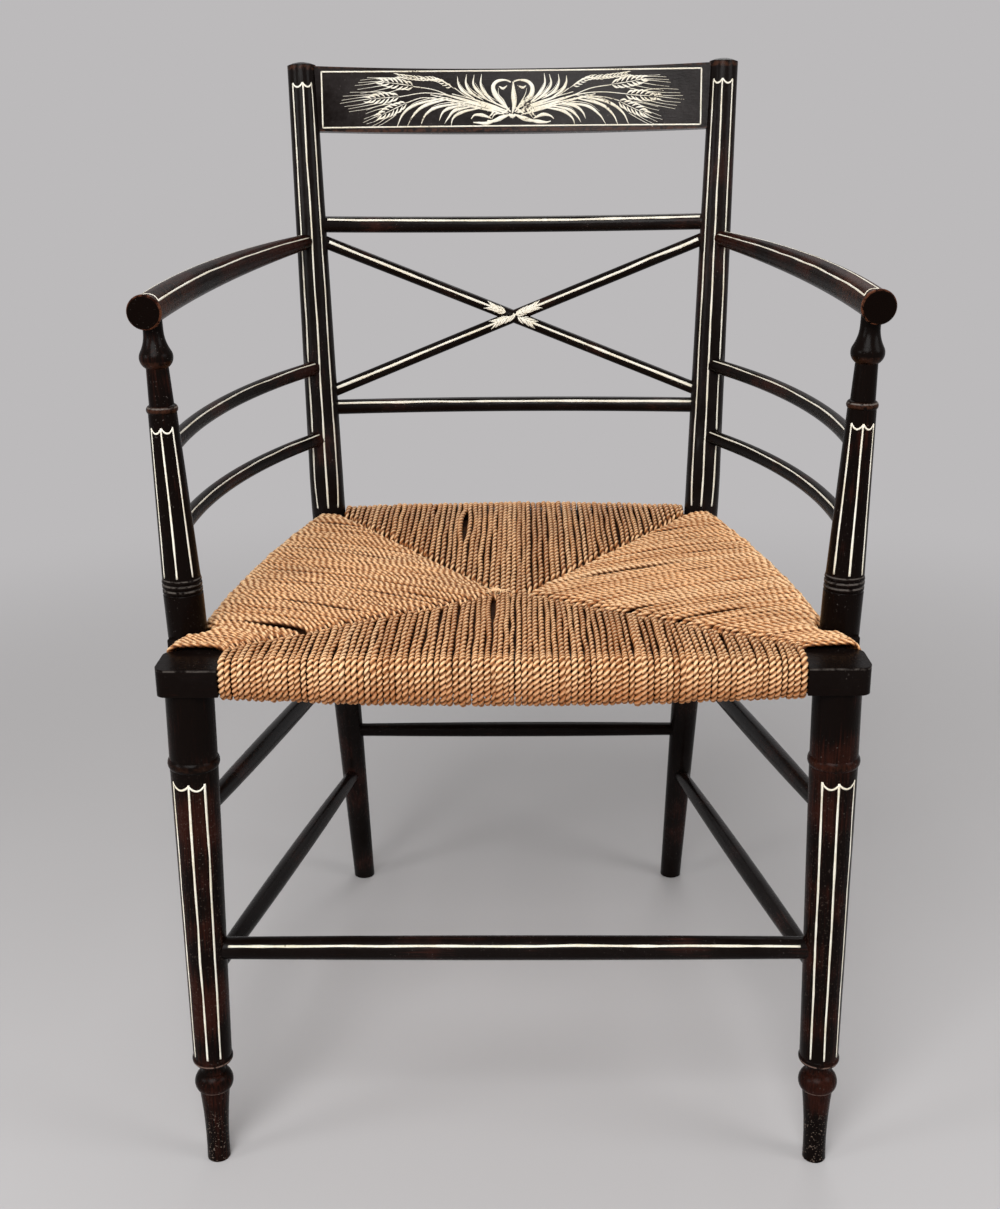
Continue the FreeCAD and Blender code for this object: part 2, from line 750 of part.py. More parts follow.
for word, side in sides:
    blank = arm_blank(f"{word}_arm_blank", side, zero)
    shaped = cut_by(f"{word}_arm_shaped", blank, [post_rooms[side]])
    rear, ahead = arm_line(side, 0)
    peg_start = rear + ahead * size("stretcher_stop").value
    peg = cylinder(f"{word}_arm_peg", size("arm_peg_dia") / 2, size("arm_peg_length"), peg_start, ahead)
    peg_socket = cylinder(f"{word}_arm_peg_socket", size("arm_peg_dia") / 2 + joint_gap,
                          size("arm_peg_length"), peg_start - ahead * socket_gap.value, ahead)
    post_sockets[side].append(peg_socket)
    end_radius = size("arm_front_dia") / 2
    end_groove = size("groove_width")
    end_length = end_groove + size("arm_bead_width")
    nose = turned(f"{word}_arm_nose", [
        (0, 0),
        (end_radius, 0),
        (end_radius - size("groove_depth"), end_groove / 2, end_radius, end_groove),
        (end_radius + size("arm_bead_rise"), (end_groove + end_length) / 2, end_radius, end_length),
        (0, end_length),
    ])
    nose.Placement = stand(*arm_line(side, 1))
    whole = fused(f"{word}_arm_whole", [shaped, peg, nose])

    # The turned support under the arm, measured up its axis from the end of its lower tenon
    foot = support_point(side, rail_top)
    head = support_point(side, size("arm_front_height"))
    upright = (vector(head) - vector(foot)).normalize()
    seat = size("support_tenon_length")
    base_top = seat + size("support_base_height")
    base_radius = size("support_base_dia") / 2
    groove_half = size("groove_width") / 2
    ring_at = seat + size("support_ring_height")
    ring_half = size("support_ring_thick") / 2
    vase_at = seat + size("vase_height")
    vase_low = vase_at - size("vase_thick") / 2
    vase_high = vase_at + size("vase_thick") / 3
    neck_low = vase_high + size("vase_neck_length")
    vase_radius = size("vase_dia") / 2
    neck_radius = size("vase_neck_dia") / 2
    profile = [
        (0, 0),
        (size("support_tenon_dia") / 2, 0),
        (size("support_tenon_dia") / 2, seat - size("shoulder_trim")),
        (base_radius, seat - size("shoulder_trim")),
    ]
    for count in (0, 1, 2):
        level = base_top + size("groove_pitch") * count
        profile.append((base_radius, level - groove_half))
        profile.append((base_radius - size("groove_depth"), level, base_radius, level + groove_half))
    profile += [
        (size("support_low_dia") / 2, base_top + size("groove_pitch") * 3),
        (size("support_high_dia") / 2, ring_at - ring_half),
        (size("support_ring_dia") / 2, ring_at, size("column_low_dia") / 2, ring_at + ring_half),
        (size("column_high_dia") / 2, vase_low),
        (vase_radius, vase_at, vase_radius - size("bead_lip"), vase_high),
        (neck_radius + size("vase_hollow"), (vase_high + neck_low) / 2, neck_radius, neck_low),
        (neck_radius, seat + distance(foot, head)),
        (0, seat + distance(foot, head)),
    ]
    support = turned(f"{word}_support_turned", profile)
    support.Placement = stand(vector(foot) - upright * seat.value, upright)
    arm_room = arm_blank(f"{word}_arm_room", side, joint_gap)
    support_shaped = cut_by(f"{word}_support_shaped", support,
                            [arm_room, side_rails[side]] + support_sockets[side])
    tenon_length = size("arm_tenon_length") + size("arm_front_dia") / 2
    tenon_start = vector(head) - upright * tenon_length.value
    tenon = cylinder(f"{word}_support_tenon", size("arm_tenon_dia") / 2, tenon_length,
                     tenon_start, upright)
    tenon_socket = cylinder(f"{word}_support_tenon_socket", size("arm_tenon_dia") / 2 + joint_gap,
                            tenon_length + socket_gap, tenon_start, upright)
    finish_node(fused(f"{word}_support_joined", [support_shaped, tenon]), f"{word}_arm_support")
    finish_node(cut_by(f"{word}_arm_drilled", whole, [tenon_socket]), f"{word}_arm")

# Back seat rail, with one round tenon at each end
back_rail_at = post_point(1, rail_middle)
back_rail_half = back_rail_at[0] - size("post_seat_dia") / 2 - size("post_gap")
back_bar = doc.addObject("Part::Box", "back_rail_bar")
back_bar.setExpression("Length", (back_rail_half * 2).text)
back_bar.setExpression("Width", size("back_rail_depth").text)
back_bar.setExpression("Height", rail_thick.text)
back_corner = (-back_rail_half, back_rail_at[1] - size("back_rail_depth") / 2, rail_bottom)
back_bar.Placement = FreeCAD.Placement(vector(back_corner), FreeCAD.Rotation())
across = FreeCAD.Vector(1, 0, 0)
tenon_reach = back_rail_half + size("back_tenon_length")
back_parts = []
for suffix, longer, wider in fits:
    reach = tenon_reach + longer
    start = vector((-reach, back_rail_at[1], rail_middle))
    back_parts.append(cylinder(f"back_rail_tenons{suffix}", size("rail_tenon_dia") / 2 + wider,
                               reach * 2, start, across))
for side in (-1, 1):
    post_sockets[side].append(back_parts[1])
back_rail = fused("back_rail_joined", [back_bar, back_parts[0]])
finish_node(back_rail, "back_seat_rail")
rail_pieces.append(back_rail)

# Front seat rail: one board, full size at the corner blocks and set in where the rush goes round it
block_x = leg_x - size("block_inset")
block_width = size("block_width")
board_length = block_x * 2 + block_width
block_depth = size("block_depth")
wrap_inset = size("wrap_inset")
front_board = padded_outline("front_rail_board", [
    (0, 0),
    (block_width, 0),
    (block_width, wrap_inset),
    (board_length - block_width, wrap_inset),
    (board_length - block_width, 0),
    (board_length, 0),
    (board_length, block_depth),
    (board_length - block_width, block_depth),
    (board_length - block_width, block_depth - wrap_inset),
    (block_width, block_depth - wrap_inset),
    (block_width, block_depth),
    (0, block_depth),
], rail_thick)


def outer_corner(edge):
    upright_edge = edge.BoundBox.ZLength > rail_thick.value / 2
    x = edge.CenterOfMass.x
    return upright_edge and min(x, board_length.value - x) < block_width.value / 2


round_edges(front_board, "block_corners", outer_corner, size("block_corner"))
board_corner = (-board_length / 2, leg_line_y - block_half, rail_bottom)
front_board.Placement = FreeCAD.Placement(vector(board_corner), FreeCAD.Rotation())

# Front legs: peg foot, bead, necked ring, tapered shaft, ring and drum, with a tenon into the block
peg_top = size("peg_height")
bead_high = peg_top + size("foot_bead_thick")
bead_radius = size("foot_bead_dia") / 2
neck_radius = size("foot_neck_dia") / 2
ring_low = bead_high + size("foot_neck_length")
ring_high = ring_low + size("low_ring_thick")
ring_radius = size("low_ring_dia") / 2
upper_low = size("high_ring_height") - size("high_ring_thick") / 2
upper_high = size("high_ring_height") + size("high_ring_thick") / 2
drum_radius = size("drum_dia") / 2
lip = size("bead_lip")
leg_tenon_radius = size("leg_tenon_dia") / 2
leg_top = rail_bottom + size("leg_tenon_length")
trim = size("foot_trim")
for word, side in sides:
    leg_up = vector(leg_point(side, rail_bottom)) - vector(leg_point(side, zero))
    block_sockets.append(cylinder(f"{word}_leg_socket", leg_tenon_radius + joint_gap,
                                  size("leg_tenon_length") + socket_gap,
                                  vector(leg_point(side, rail_bottom)), leg_up))
front_rail = cut_by("front_rail_drilled", front_board, block_sockets)
finish_node(front_rail, "front_seat_rail")
rail_pieces.append(front_rail)
for word, side in sides:
    leg = turned(f"{word}_leg_turned", [
        (0, 0),
        (size("peg_foot_dia") / 2, 0),
        (size("peg_foot_dia") / 2, trim),
        (size("peg_waist_dia") / 2, trim + size("peg_waist_height"),
         size("peg_top_dia") / 2, trim + peg_top),
        (bead_radius - lip, trim + peg_top),
        (bead_radius, trim + (peg_top * 0.7 + bead_high * 0.3), neck_radius + lip, trim + bead_high),
        (neck_radius, trim + (bead_high + ring_low) / 2, neck_radius + lip, trim + ring_low),
        (ring_radius - lip, trim + ring_low),
        (ring_radius, trim + (ring_low + ring_high) / 2, size("shaft_low_dia") / 2, trim + ring_high),
        (size("shaft_high_dia") / 2, trim + upper_low),
        (size("high_ring_dia") / 2, trim + size("high_ring_height"), drum_radius, trim + upper_high),
        (drum_radius, trim + rail_bottom + size("shoulder_trim")),
        (leg_tenon_radius, trim + rail_bottom + size("shoulder_trim")),
        (leg_tenon_radius, trim + leg_top),
        (0, trim + leg_top),
    ])
    foot = vector(leg_point(side, zero))
    leg_up = (vector(leg_point(side, rail_bottom)) - foot).normalize()
    leg.Placement = stand(foot - leg_up * trim.value, leg_up)
    floor_trim = cylinder(f"{word}_leg_floor_trim", size("drum_dia"), trim * 2, foot, -up)
    shaped = cut_by(f"{word}_leg_shaped", leg, [floor_trim, front_rail] + leg_sockets[side])
    finish_node(shaped, f"{word}_front_leg")

# Back posts, trimmed level at the floor and drilled for everything that meets them
for word, side in sides:
    floor_trim = cylinder(f"{word}_floor_trim", size("post_seat_dia"), size("foot_trim") * 2,
                          vector(post_point(side, zero)), -up)
    post = cut_by(f"{word}_post_drilled", post_blanks[side], post_sockets[side] + [floor_trim])
    finish_node(post, f"{word}_back_post")

# Rush seat: wound over the rails, cut back round the blocks, bosses and posts, dished to its seams
wrap = size("rush_wrap")
rush_thick = rail_thick + wrap * 2
rush_front = block_half - wrap_inset + wrap
rush_half = size("side_rail_front_out") + wrap
block_edge = block_x - block_width / 2 - soft_gap
boss_edge = size("support_base_out") - size("support_base_dia") / 2 - soft_gap
post_edge = back_rail_at[0] - size("post_seat_dia") / 2 - soft_gap
boss_front = size("support_set") - size("boss_length") / 2 - soft_gap
boss_back = size("support_set") + size("boss_length") / 2 + soft_gap
post_front = size("post_knee_set") - size("post_seat_dia") / 2 - soft_gap
rush_back = back_rail_at[1] - leg_line_y + size("back_rail_depth") / 2 + wrap
half_outline = [
    (block_edge, -rush_front),
    (block_edge, block_half + soft_gap),
    (rail_outer(soft_gap) + wrap, block_half + soft_gap),
    (rail_outer(boss_front - block_half) + wrap, boss_front),
    (boss_edge, boss_front),
    (boss_edge, boss_back),
    (rail_outer(boss_back - block_half) + wrap, boss_back),
    (rail_outer(bow_run) + size("side_rail_bow") + wrap, bow_run + block_half,
     rail_outer(post_front - block_half) + wrap, post_front),
    (post_edge, post_front),
    (post_edge, rush_back),
]


# The other half of an outline, run backwards; the way point of an arc moves to the step that now ends it
def mirrored_half(steps):
    result = []
    way = ()
    for step in reversed(steps):
        result.append(tuple(way) + (-step[-2], step[-1]))
        way = (-step[0], step[1]) if len(step) == 4 else ()
    return result


def shifted(step):
    return tuple(item + (rush_front if index % 2 else rush_half) for index, item in enumerate(step))


rush_outline = [shifted(step) for step in half_outline + mirrored_half(half_outline)]
rush = padded_outline("rush_seat_wound", rush_outline, rush_thick)


def rolled_edge(edge):
    if len(edge.Vertexes) < 2 or edge.BoundBox.ZLength > joint_gap.value:
        return False
    box = edge.BoundBox
    slanted = min(box.XLength, box.YLength) > wrap.value / 10
    end_edge = box.YLength < joint_gap.value and box.XLength > leg_x.value / 2
    return slanted or end_edge


round_edges(rush, "rush_rolls", rolled_edge, size("rush_roll"))


# The four panels slope from the rails to a short seam; a shallow hopper of that form is cut away
def dish_panels(name, level, deeper):
    margin = size("rush_roll") + wrap
    seam_y = rush_front + size("rush_seam_set")
    bridge_half = size("rush_bridge") / 2
    seam_half = size("rush_seam_width") / 2
    wide = block_edge
    narrow = post_edge
    rear = rush_front + rush_back - margin
    outlines = (
        (level, [(rush_half - wide, margin), (rush_half + wide, margin),
                 (rush_half + narrow, rear), (rush_half - narrow, rear)]),
        (deeper, [(rush_half - bridge_half, seam_y - seam_half),
                  (rush_half + bridge_half, seam_y - seam_half),
                  (rush_half + bridge_half, seam_y + seam_half),
                  (rush_half - bridge_half, seam_y + seam_half)]),
    )
    sketches = []
    for index, (height, points) in enumerate(outlines):
        sketch = attached_sketch(rush, f"{name}_{index}", "XY_Plane")
        sketch.setExpression("AttachmentOffset.Base.z", text_of(height))
        draw_outline(sketch, points)
        sketches.append(sketch)
    dish = rush.newObject("PartDesign::SubtractiveLoft", name)
    dish.Profile = sketches[0]
    dish.Sections = [sketches[1]]
    dish.Ruled = True
    doc.recompute()
    rush.Tip = dish


dish_panels("top_dish", rush_thick, rush_thick - size("rush_dish"))
dish_panels("under_dish", zero, size("rush_dish"))
rush.Placement = FreeCAD.Placement(vector((-rush_half, leg_line_y - rush_front, rail_bottom - wrap)),
                                   FreeCAD.Rotation())
finish_node(cut_by("rush_seat_over_rails", rush, rail_pieces), "rush_seat")

doc.recompute()

failed = [item.Name for item in doc.Objects if {"Invalid", "Error"} & set(item.State)]
if failed:
    raise RuntimeError("failed objects: " + ", ".join(failed))
for item in nodes:
    shape = item.Shape
    if shape.isNull() or not shape.isValid() or len(shape.Solids) != 1:
        raise RuntimeError(f"{item.Label} has {len(shape.Solids)} solids, valid {shape.isValid()}")

os.makedirs("parts", exist_ok=True)
for item in nodes:
    item.Shape.exportStep(f"parts/{item.Label}.step")

whole_box = FreeCAD.BoundBox()
for item in nodes:
    whole_box.add(item.Shape.BoundBox)
print(f"{len(nodes)} pieces, box {whole_box}")
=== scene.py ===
import math

import bpy
import numpy as np
from mathutils import Matrix, Vector
from mathutils.bvhtree import BVHTree


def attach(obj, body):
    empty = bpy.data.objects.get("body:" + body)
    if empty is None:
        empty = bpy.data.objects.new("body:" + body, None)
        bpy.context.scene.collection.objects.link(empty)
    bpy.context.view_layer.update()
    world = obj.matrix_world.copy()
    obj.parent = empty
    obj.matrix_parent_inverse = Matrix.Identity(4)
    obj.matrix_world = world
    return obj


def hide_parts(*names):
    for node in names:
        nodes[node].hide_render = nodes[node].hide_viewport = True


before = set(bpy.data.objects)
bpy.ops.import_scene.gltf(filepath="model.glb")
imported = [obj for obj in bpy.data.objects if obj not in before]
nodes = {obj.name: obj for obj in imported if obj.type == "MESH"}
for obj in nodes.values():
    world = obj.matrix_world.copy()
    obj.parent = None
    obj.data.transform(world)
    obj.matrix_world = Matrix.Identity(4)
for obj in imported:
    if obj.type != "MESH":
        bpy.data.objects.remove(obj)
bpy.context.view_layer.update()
dice = np.random.default_rng(1812)
print("frame loaded:", len(nodes), "nodes")


# Shader helpers: a wrapped socket that takes plain arithmetic, and a material or world that makes its nodes
class Wire:
    def __init__(self, finish, plug):
        self.finish = finish
        self.plug = plug

    def reckon(self, operation, first, second):
        return self.finish.make("ShaderNodeMath", {"operation": operation}, {0: first, 1: second})

    def __add__(self, other):
        return self.reckon("ADD", self, other)

    def __radd__(self, other):
        return self.reckon("ADD", other, self)

    def __sub__(self, other):
        return self.reckon("SUBTRACT", self, other)

    def __rsub__(self, other):
        return self.reckon("SUBTRACT", other, self)

    def __mul__(self, other):
        return self.reckon("MULTIPLY", self, other)

    def __rmul__(self, other):
        return self.reckon("MULTIPLY", other, self)


class Finish:
    def __init__(self, name, world=False):
        self.material = (bpy.data.worlds if world else bpy.data.materials).new(name)
        self.material.use_nodes = True
        self.tree = self.material.node_tree
        self.tree.nodes.clear()
        self.ending = "ShaderNodeOutputWorld" if world else "ShaderNodeOutputMaterial"

    def make(self, kind, settings=None, inputs=None, out=0):
        node = self.tree.nodes.new(kind)
        for key, value in (settings or {}).items():
            setattr(node, key, value)
        for key, value in (inputs or {}).items():
            if isinstance(value, Wire):
                self.tree.links.new(value.plug, node.inputs[key])
            else:
                node.inputs[key].default_value = value
        return Wire(self, node.outputs[out]) if node.outputs else None

    def place(self):
        return self.make("ShaderNodeTexCoord", out="Object")

    def vector(self, operation, first, second, out=0):
        return self.make("ShaderNodeVectorMath", {"operation": operation}, {0: first, 1: second}, out)

    def along(self, place, axis):
        return self.vector("DOT_PRODUCT", place, axis, "Value")

    def noise(self, place, scale, detail, rough):
        return self.make("ShaderNodeTexNoise", None,
                         {"Vector": place, "Scale": scale, "Detail": detail, "Roughness": rough})

    def smooth(self, value, low, high):
        return self.make("ShaderNodeMapRange", {"interpolation_type": "SMOOTHSTEP"},
                         {0: value, 1: low, 2: high})

    def blend(self, factor, first, second):
        first = first if isinstance(first, Wire) else (*first, 1)
        second = second if isinstance(second, Wire) else (*second, 1)
        return self.make("ShaderNodeMix", {"data_type": "RGBA"}, {0: factor, 6: first, 7: second}, 2)

    def surface(self, colour, rough, bump, depth, gloss):
        normal = self.make("ShaderNodeBump", None, {"Height": bump, "Distance": depth, "Strength": 1.0})
        self.close(self.make("ShaderNodeBsdfPrincipled", None, {
            "Base Color": colour, "Roughness": rough, "Normal": normal, "Specular IOR Level": gloss}))
        return self.material

    def close(self, shader):
        self.make(self.ending, None, {"Surface": shader})

    # Rays that show the plain backdrop instead of the light: the camera's own, and reflections of it
    def backdropRays(self):
        camera, glossy, through = (self.make("ShaderNodeLightPath", out=ray) for ray in
                                   ("Is Camera Ray", "Is Glossy Ray", "Is Transmission Ray"))
        return camera + glossy + through


# Camera at the photograph's angle, fitted to its 1000 x 1209 frame
photoView = {
    "imageSize": (1000, 1209),
    "focalPixels": 1496.4,
    "pitch": 18.357,
    "roll": 0.551,
    "yaw": -0.966,
    "stand": (0.0089, -1.2666, 0.8178),
    "sensor": 36.0,
}


def aimCamera(view):
    pitch, roll, yaw = (math.radians(view[key]) for key in ("pitch", "roll", "yaw"))
    ahead = Vector((math.sin(yaw) * math.cos(pitch), math.cos(yaw) * math.cos(pitch), -math.sin(pitch)))
    level = Vector((math.cos(yaw), -math.sin(yaw), 0))
    down = ahead.cross(level)
    right = level * math.cos(roll) + down * math.sin(roll)
    below = down * math.cos(roll) - level * math.sin(roll)
    lens = bpy.data.cameras.new("photoLens")
    lens.sensor_width = view["sensor"]
    lens.lens = view["focalPixels"] * view["sensor"] / max(view["imageSize"])
    camera = bpy.data.objects.new("photoCamera", lens)
    bpy.context.scene.collection.objects.link(camera)
    turn = Matrix((right, -below, -ahead)).transposed().to_4x4()
    camera.matrix_world = Matrix.Translation(view["stand"]) @ turn
    bpy.context.scene.camera = camera


aimCamera(photoView)

# Grey studio: a floor that keeps the shadow near the chair and fades to the plain grey of the backdrop
studio = {
    "grey": (0.503, 0.491, 0.497),
    "floorColour": (0.52, 0.508, 0.512),
    "floorReach": 9.0,
    "floorDrop": 0.0005,
    "fadeFrom": 0.75,
    "fadeTo": 1.9,
    "skyColour": (1, 0.985, 0.97),
    "skyLight": 0.30,
    "lamps": (  # name, place, width, power
        ("keyLamp", (-0.40, -1.95, 1.95), 1.6, 57.0),
        ("sideLamp", (-1.9, -1.1, 1.1), 0.7, 9.0),
        ("fillLamp", (1.8, -0.9, 1.4), 1.0, 11.0),
        ("rimLamp", (0.3, 1.7, 2.2), 1.4, 13.0),
    ),
    "aim": (0.0, 0.0, 0.45),
}


def setStudio(plan):
    scene = bpy.context.scene
    scene.view_settings.view_transform = "Standard"
    sky = Finish("studioWorld", world=True)
    light = sky.make("ShaderNodeBackground", None,
                     {"Color": (*plan["skyColour"], 1), "Strength": plan["skyLight"]})
    seen = sky.make("ShaderNodeBackground", None, {"Color": (*plan["grey"], 1)})
    sky.close(sky.make("ShaderNodeMixShader", None, {0: sky.backdropRays(), 1: light, 2: seen}))
    scene.world = sky.material

    floorFinish = Finish("studioFloor")
    spot = floorFinish.place()
    reach = floorFinish.make("ShaderNodeVectorMath", {"operation": "LENGTH"}, {0: spot}, "Value")
    far = floorFinish.smooth(reach, plan["fadeFrom"], plan["fadeTo"])
    matt = floorFinish.make("ShaderNodeBsdfDiffuse", None, {"Color": (*plan["floorColour"], 1)})
    flat = floorFinish.make("ShaderNodeEmission", None, {"Color": (*plan["grey"], 1)})
    shown = floorFinish.make("ShaderNodeMixShader", None,
                             {0: far * floorFinish.backdropRays(), 1: matt, 2: flat})
    floorFinish.close(shown)
    size = plan["floorReach"]
    corners = [(-size, -size, 0), (size, -size, 0), (size, size, 0), (-size, size, 0)]
    sheet = bpy.data.meshes.new("studioFloor")
    sheet.from_pydata(corners, [], [(0, 1, 2, 3)])
    sheet.materials.append(floorFinish.material)
    floor = bpy.data.objects.new("studioFloor", sheet)
    floor.location.z = -plan["floorDrop"]
    scene.collection.objects.link(floor)

    for name, spot, width, power in plan["lamps"]:
        lamp = bpy.data.lights.new(name, "AREA")
        lamp.shape = "DISK"
        lamp.size = width
        lamp.energy = power
        holder = bpy.data.objects.new(name, lamp)
        holder.location = spot
        holder.rotation_mode = "QUATERNION"
        holder.rotation_quaternion = (Vector(plan["aim"]) - Vector(spot)).to_track_quat("-Z", "Y")
        scene.collection.objects.link(holder)


setStudio(studio)
print("camera and studio set")

# Ebonised wood: black over dark red-brown, grain down each piece, rubbed to copper on rings and edges, with a grey
# sheen and pale highlights painted into its colour
ebonised = {
    "black": (0.0036, 0.0019, 0.0014),
    "brown": (0.026, 0.0068, 0.0040),
    "copper": (0.125, 0.046, 0.024),
    # Pale grey for worn specks, and for bands that are painted highlights
    "dustAndHighlight": (0.15, 0.13, 0.115),
    "bare": (0.23, 0.15, 0.12),
    "specks": (0.20, 0.15, 0.12),
    # Grey that is partly soot and partly a painted sheen
    "sootAndSheenGrey": (0.024, 0.0200, 0.0195),
    "grain": (640.0, 4, 0.6), "pores": (1664.0, 2, 0.5), "grainSquash": 0.962,  # noise: scale, detail, roughness
    "blotch": (17.0, 3, 0.55), "scuff": (240.0, 3, 0.6), "chips": (620.0, 2, 0.5),
    "upward": (0, -0.25, 0.97),
    "bumpDepth": 0.00022,
}


def longAxis(node):
    points = np.array([corner.co for corner in node.data.vertices])
    axis = np.linalg.svd(points - points.mean(0), full_matrices=False)[2][0]
    return tuple(float(part) for part in axis)


def ebonisedWood(name, axis, red, sootAndSheen=0.0, rubs=(), rubAxis=(0, 0, 1),
                 topRed=0.0, endDark=False, gloss=0.075):
    wood = Finish(name)
    place = wood.place()
    run = wood.along(place, axis)
    squash = wood.make("ShaderNodeVectorMath", {"operation": "SCALE"},
                       {0: axis, "Scale": run * -ebonised["grainSquash"]})
    drawn = wood.vector("ADD", place, squash)
    grain, pores = (wood.noise(drawn, *ebonised[key]) for key in ("grain", "pores"))
    blotch, scuff, chips = (wood.noise(place, *ebonised[key]) for key in ("blotch", "scuff", "chips"))
    facing = wood.make("ShaderNodeNewGeometry", out="Normal") if topRed or endDark else None
    showing = wood.smooth(blotch + grain * 0.5, 0.95 - 0.42 * red, 1.12 - 0.3 * red)
    if topRed:
        upward = wood.smooth(wood.along(facing, ebonised["upward"]), -0.3, 0.9)
        showing = showing + upward * blotch * topRed
    if endDark:
        ending = wood.along(facing, axis)
        barrel = wood.smooth(ending * ending, 0.75, 0.3)
        showing = showing * barrel
    colour = wood.blend(showing * 0.9, ebonised["black"], ebonised["brown"])
    # Grey streaks, partly soot and partly a painted sheen
    if sootAndSheen:
        sootAndSheenMask = wood.smooth(blotch + scuff * 0.3, 0.35, 0.85)
        colour = wood.blend(sootAndSheenMask * sootAndSheen, colour, ebonised["sootAndSheenGrey"])
    level = wood.along(place, rubAxis) if rubs else None
    for centre, half, strength, tint in rubs:
        off = level - centre
        band = wood.smooth(off * off, half * half, 0.0)
        if tint == "specks":
            worn = wood.smooth(chips + scuff * 0.25, 0.735, 0.80) * strength
        else:
            worn = wood.smooth(scuff + blotch * 0.35, 0.54, 0.74) * strength
        if endDark:
            worn = worn * barrel
        colour = wood.blend(band * worn, colour, ebonised[tint])
    streak = wood.smooth(pores, 0.62, 0.8)
    colour = wood.blend(streak * 0.22, colour, ebonised["brown"])
    # Pale worn specks
    speck = wood.smooth(chips, 0.69, 0.74) * wood.smooth(blotch, 0.42, 0.6)
    colour = wood.blend(speck * 0.5, colour, ebonised["dustAndHighlight"])
    rough = 0.08 + scuff * 0.16 + grain * 0.10 + blotch * 0.08
    return wood.surface(colour, rough, grain * 0.6 + scuff * 0.4, ebonised["bumpDepth"], gloss)


# Rubbed places along a piece: middle, half width, strength and tint
ringRubs = {
    "front_leg": (
        (0.3550, 0.0030, 0.08, "copper"), (0.0950, 0.0009, 0.75, "bare"),
        (0.0680, 0.0010, 0.60, "bare"), (0.018, 0.036, 0.70, "specks"),
        (0.24, 0.14, 0.12, "specks"),
    ),
    "arm_support": (
        (0.6105, 0.0028, 0.25, "copper"), (0.6430, 0.0035, 0.16, "copper"),
        # The pale bands on the rings, here and on the next line, are painted highlights
        (0.6118, 0.0007, 0.8, "dustAndHighlight"), (0.4722, 0.0008, 0.55, "dustAndHighlight"),
        (0.4764, 0.0008, 0.55, "dustAndHighlight"), (0.4806, 0.0007, 0.5, "dustAndHighlight"),
    ),
    "back_post": ((0.8555, 0.003, 0.3, "copper"),),
    "crest_rail": ((0.8562, 0.0022, 0.35, "copper"), (0.7982, 0.0022, 0.35, "copper")),
    # Pale band along the block's top front edge: painted highlight, partly wear
    "front_seat_rail": ((0.4338, 0.0010, 0.4, "dustAndHighlight"),),
    "arm": ((-0.1962, 0.0036, 0.95, "copper"), (-0.150, 0.055, 0.22, "copper")),
}
# The first key found in a node's name is its kind, here and above
# The grey share set here is partly soot and partly a painted sheen
pieceTones = {
    "crest_rail": {"red": 0.05, "sootAndSheen": 0.95},
    "front_seat_rail": {"red": 0.12, "sootAndSheen": 0.10, "gloss": 0.038},
    "back_post": {"red": 0.40, "sootAndSheen": 0.26, "gloss": 0.055},
    "front_leg": {"red": 0.58, "gloss": 0.042},
    "arm_support": {"red": 0.24, "gloss": 0.045},
    "arm": {"red": 0.75, "topRed": 0.45, "gloss": 0.017, "rubAxis": (0, 1, 0), "endDark": True},
    "side_bar": {"red": 0.55, "sootAndSheen": 0.05, "gloss": 0.024},
    "stretcher": {"red": 0.3, "sootAndSheen": 0.15, "gloss": 0.05},
}
plainTone = {"red": 0.25, "sootAndSheen": 0.15}
edgeSoftening = {
    "front_seat_rail": 0.0016,
    "left_seat_rail": 0.0010,
    "right_seat_rail": 0.0010,
    "crest_rail": 0.0012,
}


def ofKind(table, name, otherwise):
    return next((value for kind, value in table.items() if kind in name), otherwise)


def finishWood():
    for name, node in nodes.items():
        if name == "rush_seat":
            continue
        tone = ofKind(pieceTones, name, plainTone)
        rubs = ofKind(ringRubs, name, ())
        material = ebonisedWood(name + "_ebonised", longAxis(node), rubs=rubs, **tone)
        node.data.materials.clear()
        node.data.materials.append(material)
    for name, width in edgeSoftening.items():
        softer = nodes[name].modifiers.new("softEdges", "BEVEL")
        softer.width = width
        softer.segments = 3
        softer.limit_method = "ANGLE"
        softer.angle_limit = math.radians(50)


finishWood()
print("wood finished")


def newPiece(name, mesh, material):
    mesh.materials.append(material)
    mesh.shade_smooth()
    piece = bpy.data.objects.new(name, mesh)
    bpy.context.scene.collection.objects.link(piece)
    return piece


# Painted lines: thin strips laid on the surfaces of the pieces that carry them
class Brush:
    sides = 5  # points round a stroke's body

    def __init__(self):
        self.points = []
        self.faces = []

    # One stroke along a path of (sideways, along) points on a face
    def stroke(self, face, path, widths, lift=0.00022, edge=0.00010, sink=0.00012):
        path = np.asarray(path, float)
        ahead = np.gradient(path, axis=0)
        ahead /= np.linalg.norm(ahead, axis=1)[:, None] + 1e-12
        sideways = np.stack([-ahead[:, 1], ahead[:, 0]], 1)
        widths = np.broadcast_to(np.asarray(widths, float), (len(path),))
        first = len(self.points)
        for spot, across, width in zip(path, sideways, widths):
            for share, rises in ((0.5, (-sink, edge)), (0, (lift,)), (-0.5, (edge, -sink))):
                point, up = face(*(spot + across * width * share))
                self.points += [point + up * rise for rise in rises]
        sides = self.sides
        last = first + (len(path) - 1) * sides
        for base in range(first, last, sides):
            for turn in range(sides):
                after = (turn + 1) % sides
                self.faces.append((base + turn, base + after, base + sides + after, base + sides + turn))
        self.faces.append(tuple(first + turn for turn in reversed(range(sides))))
        self.faces.append(tuple(last + turn for turn in range(sides)))

    def dry(self, name, material):
        mesh = bpy.data.meshes.new(name)
        mesh.from_pydata([tuple(point) for point in self.points], [], self.faces)
        mesh.validate()
        piece = newPiece(name, mesh, material)
        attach(piece, "root")


def between(first, second, share):
    return first + (second - first) * share


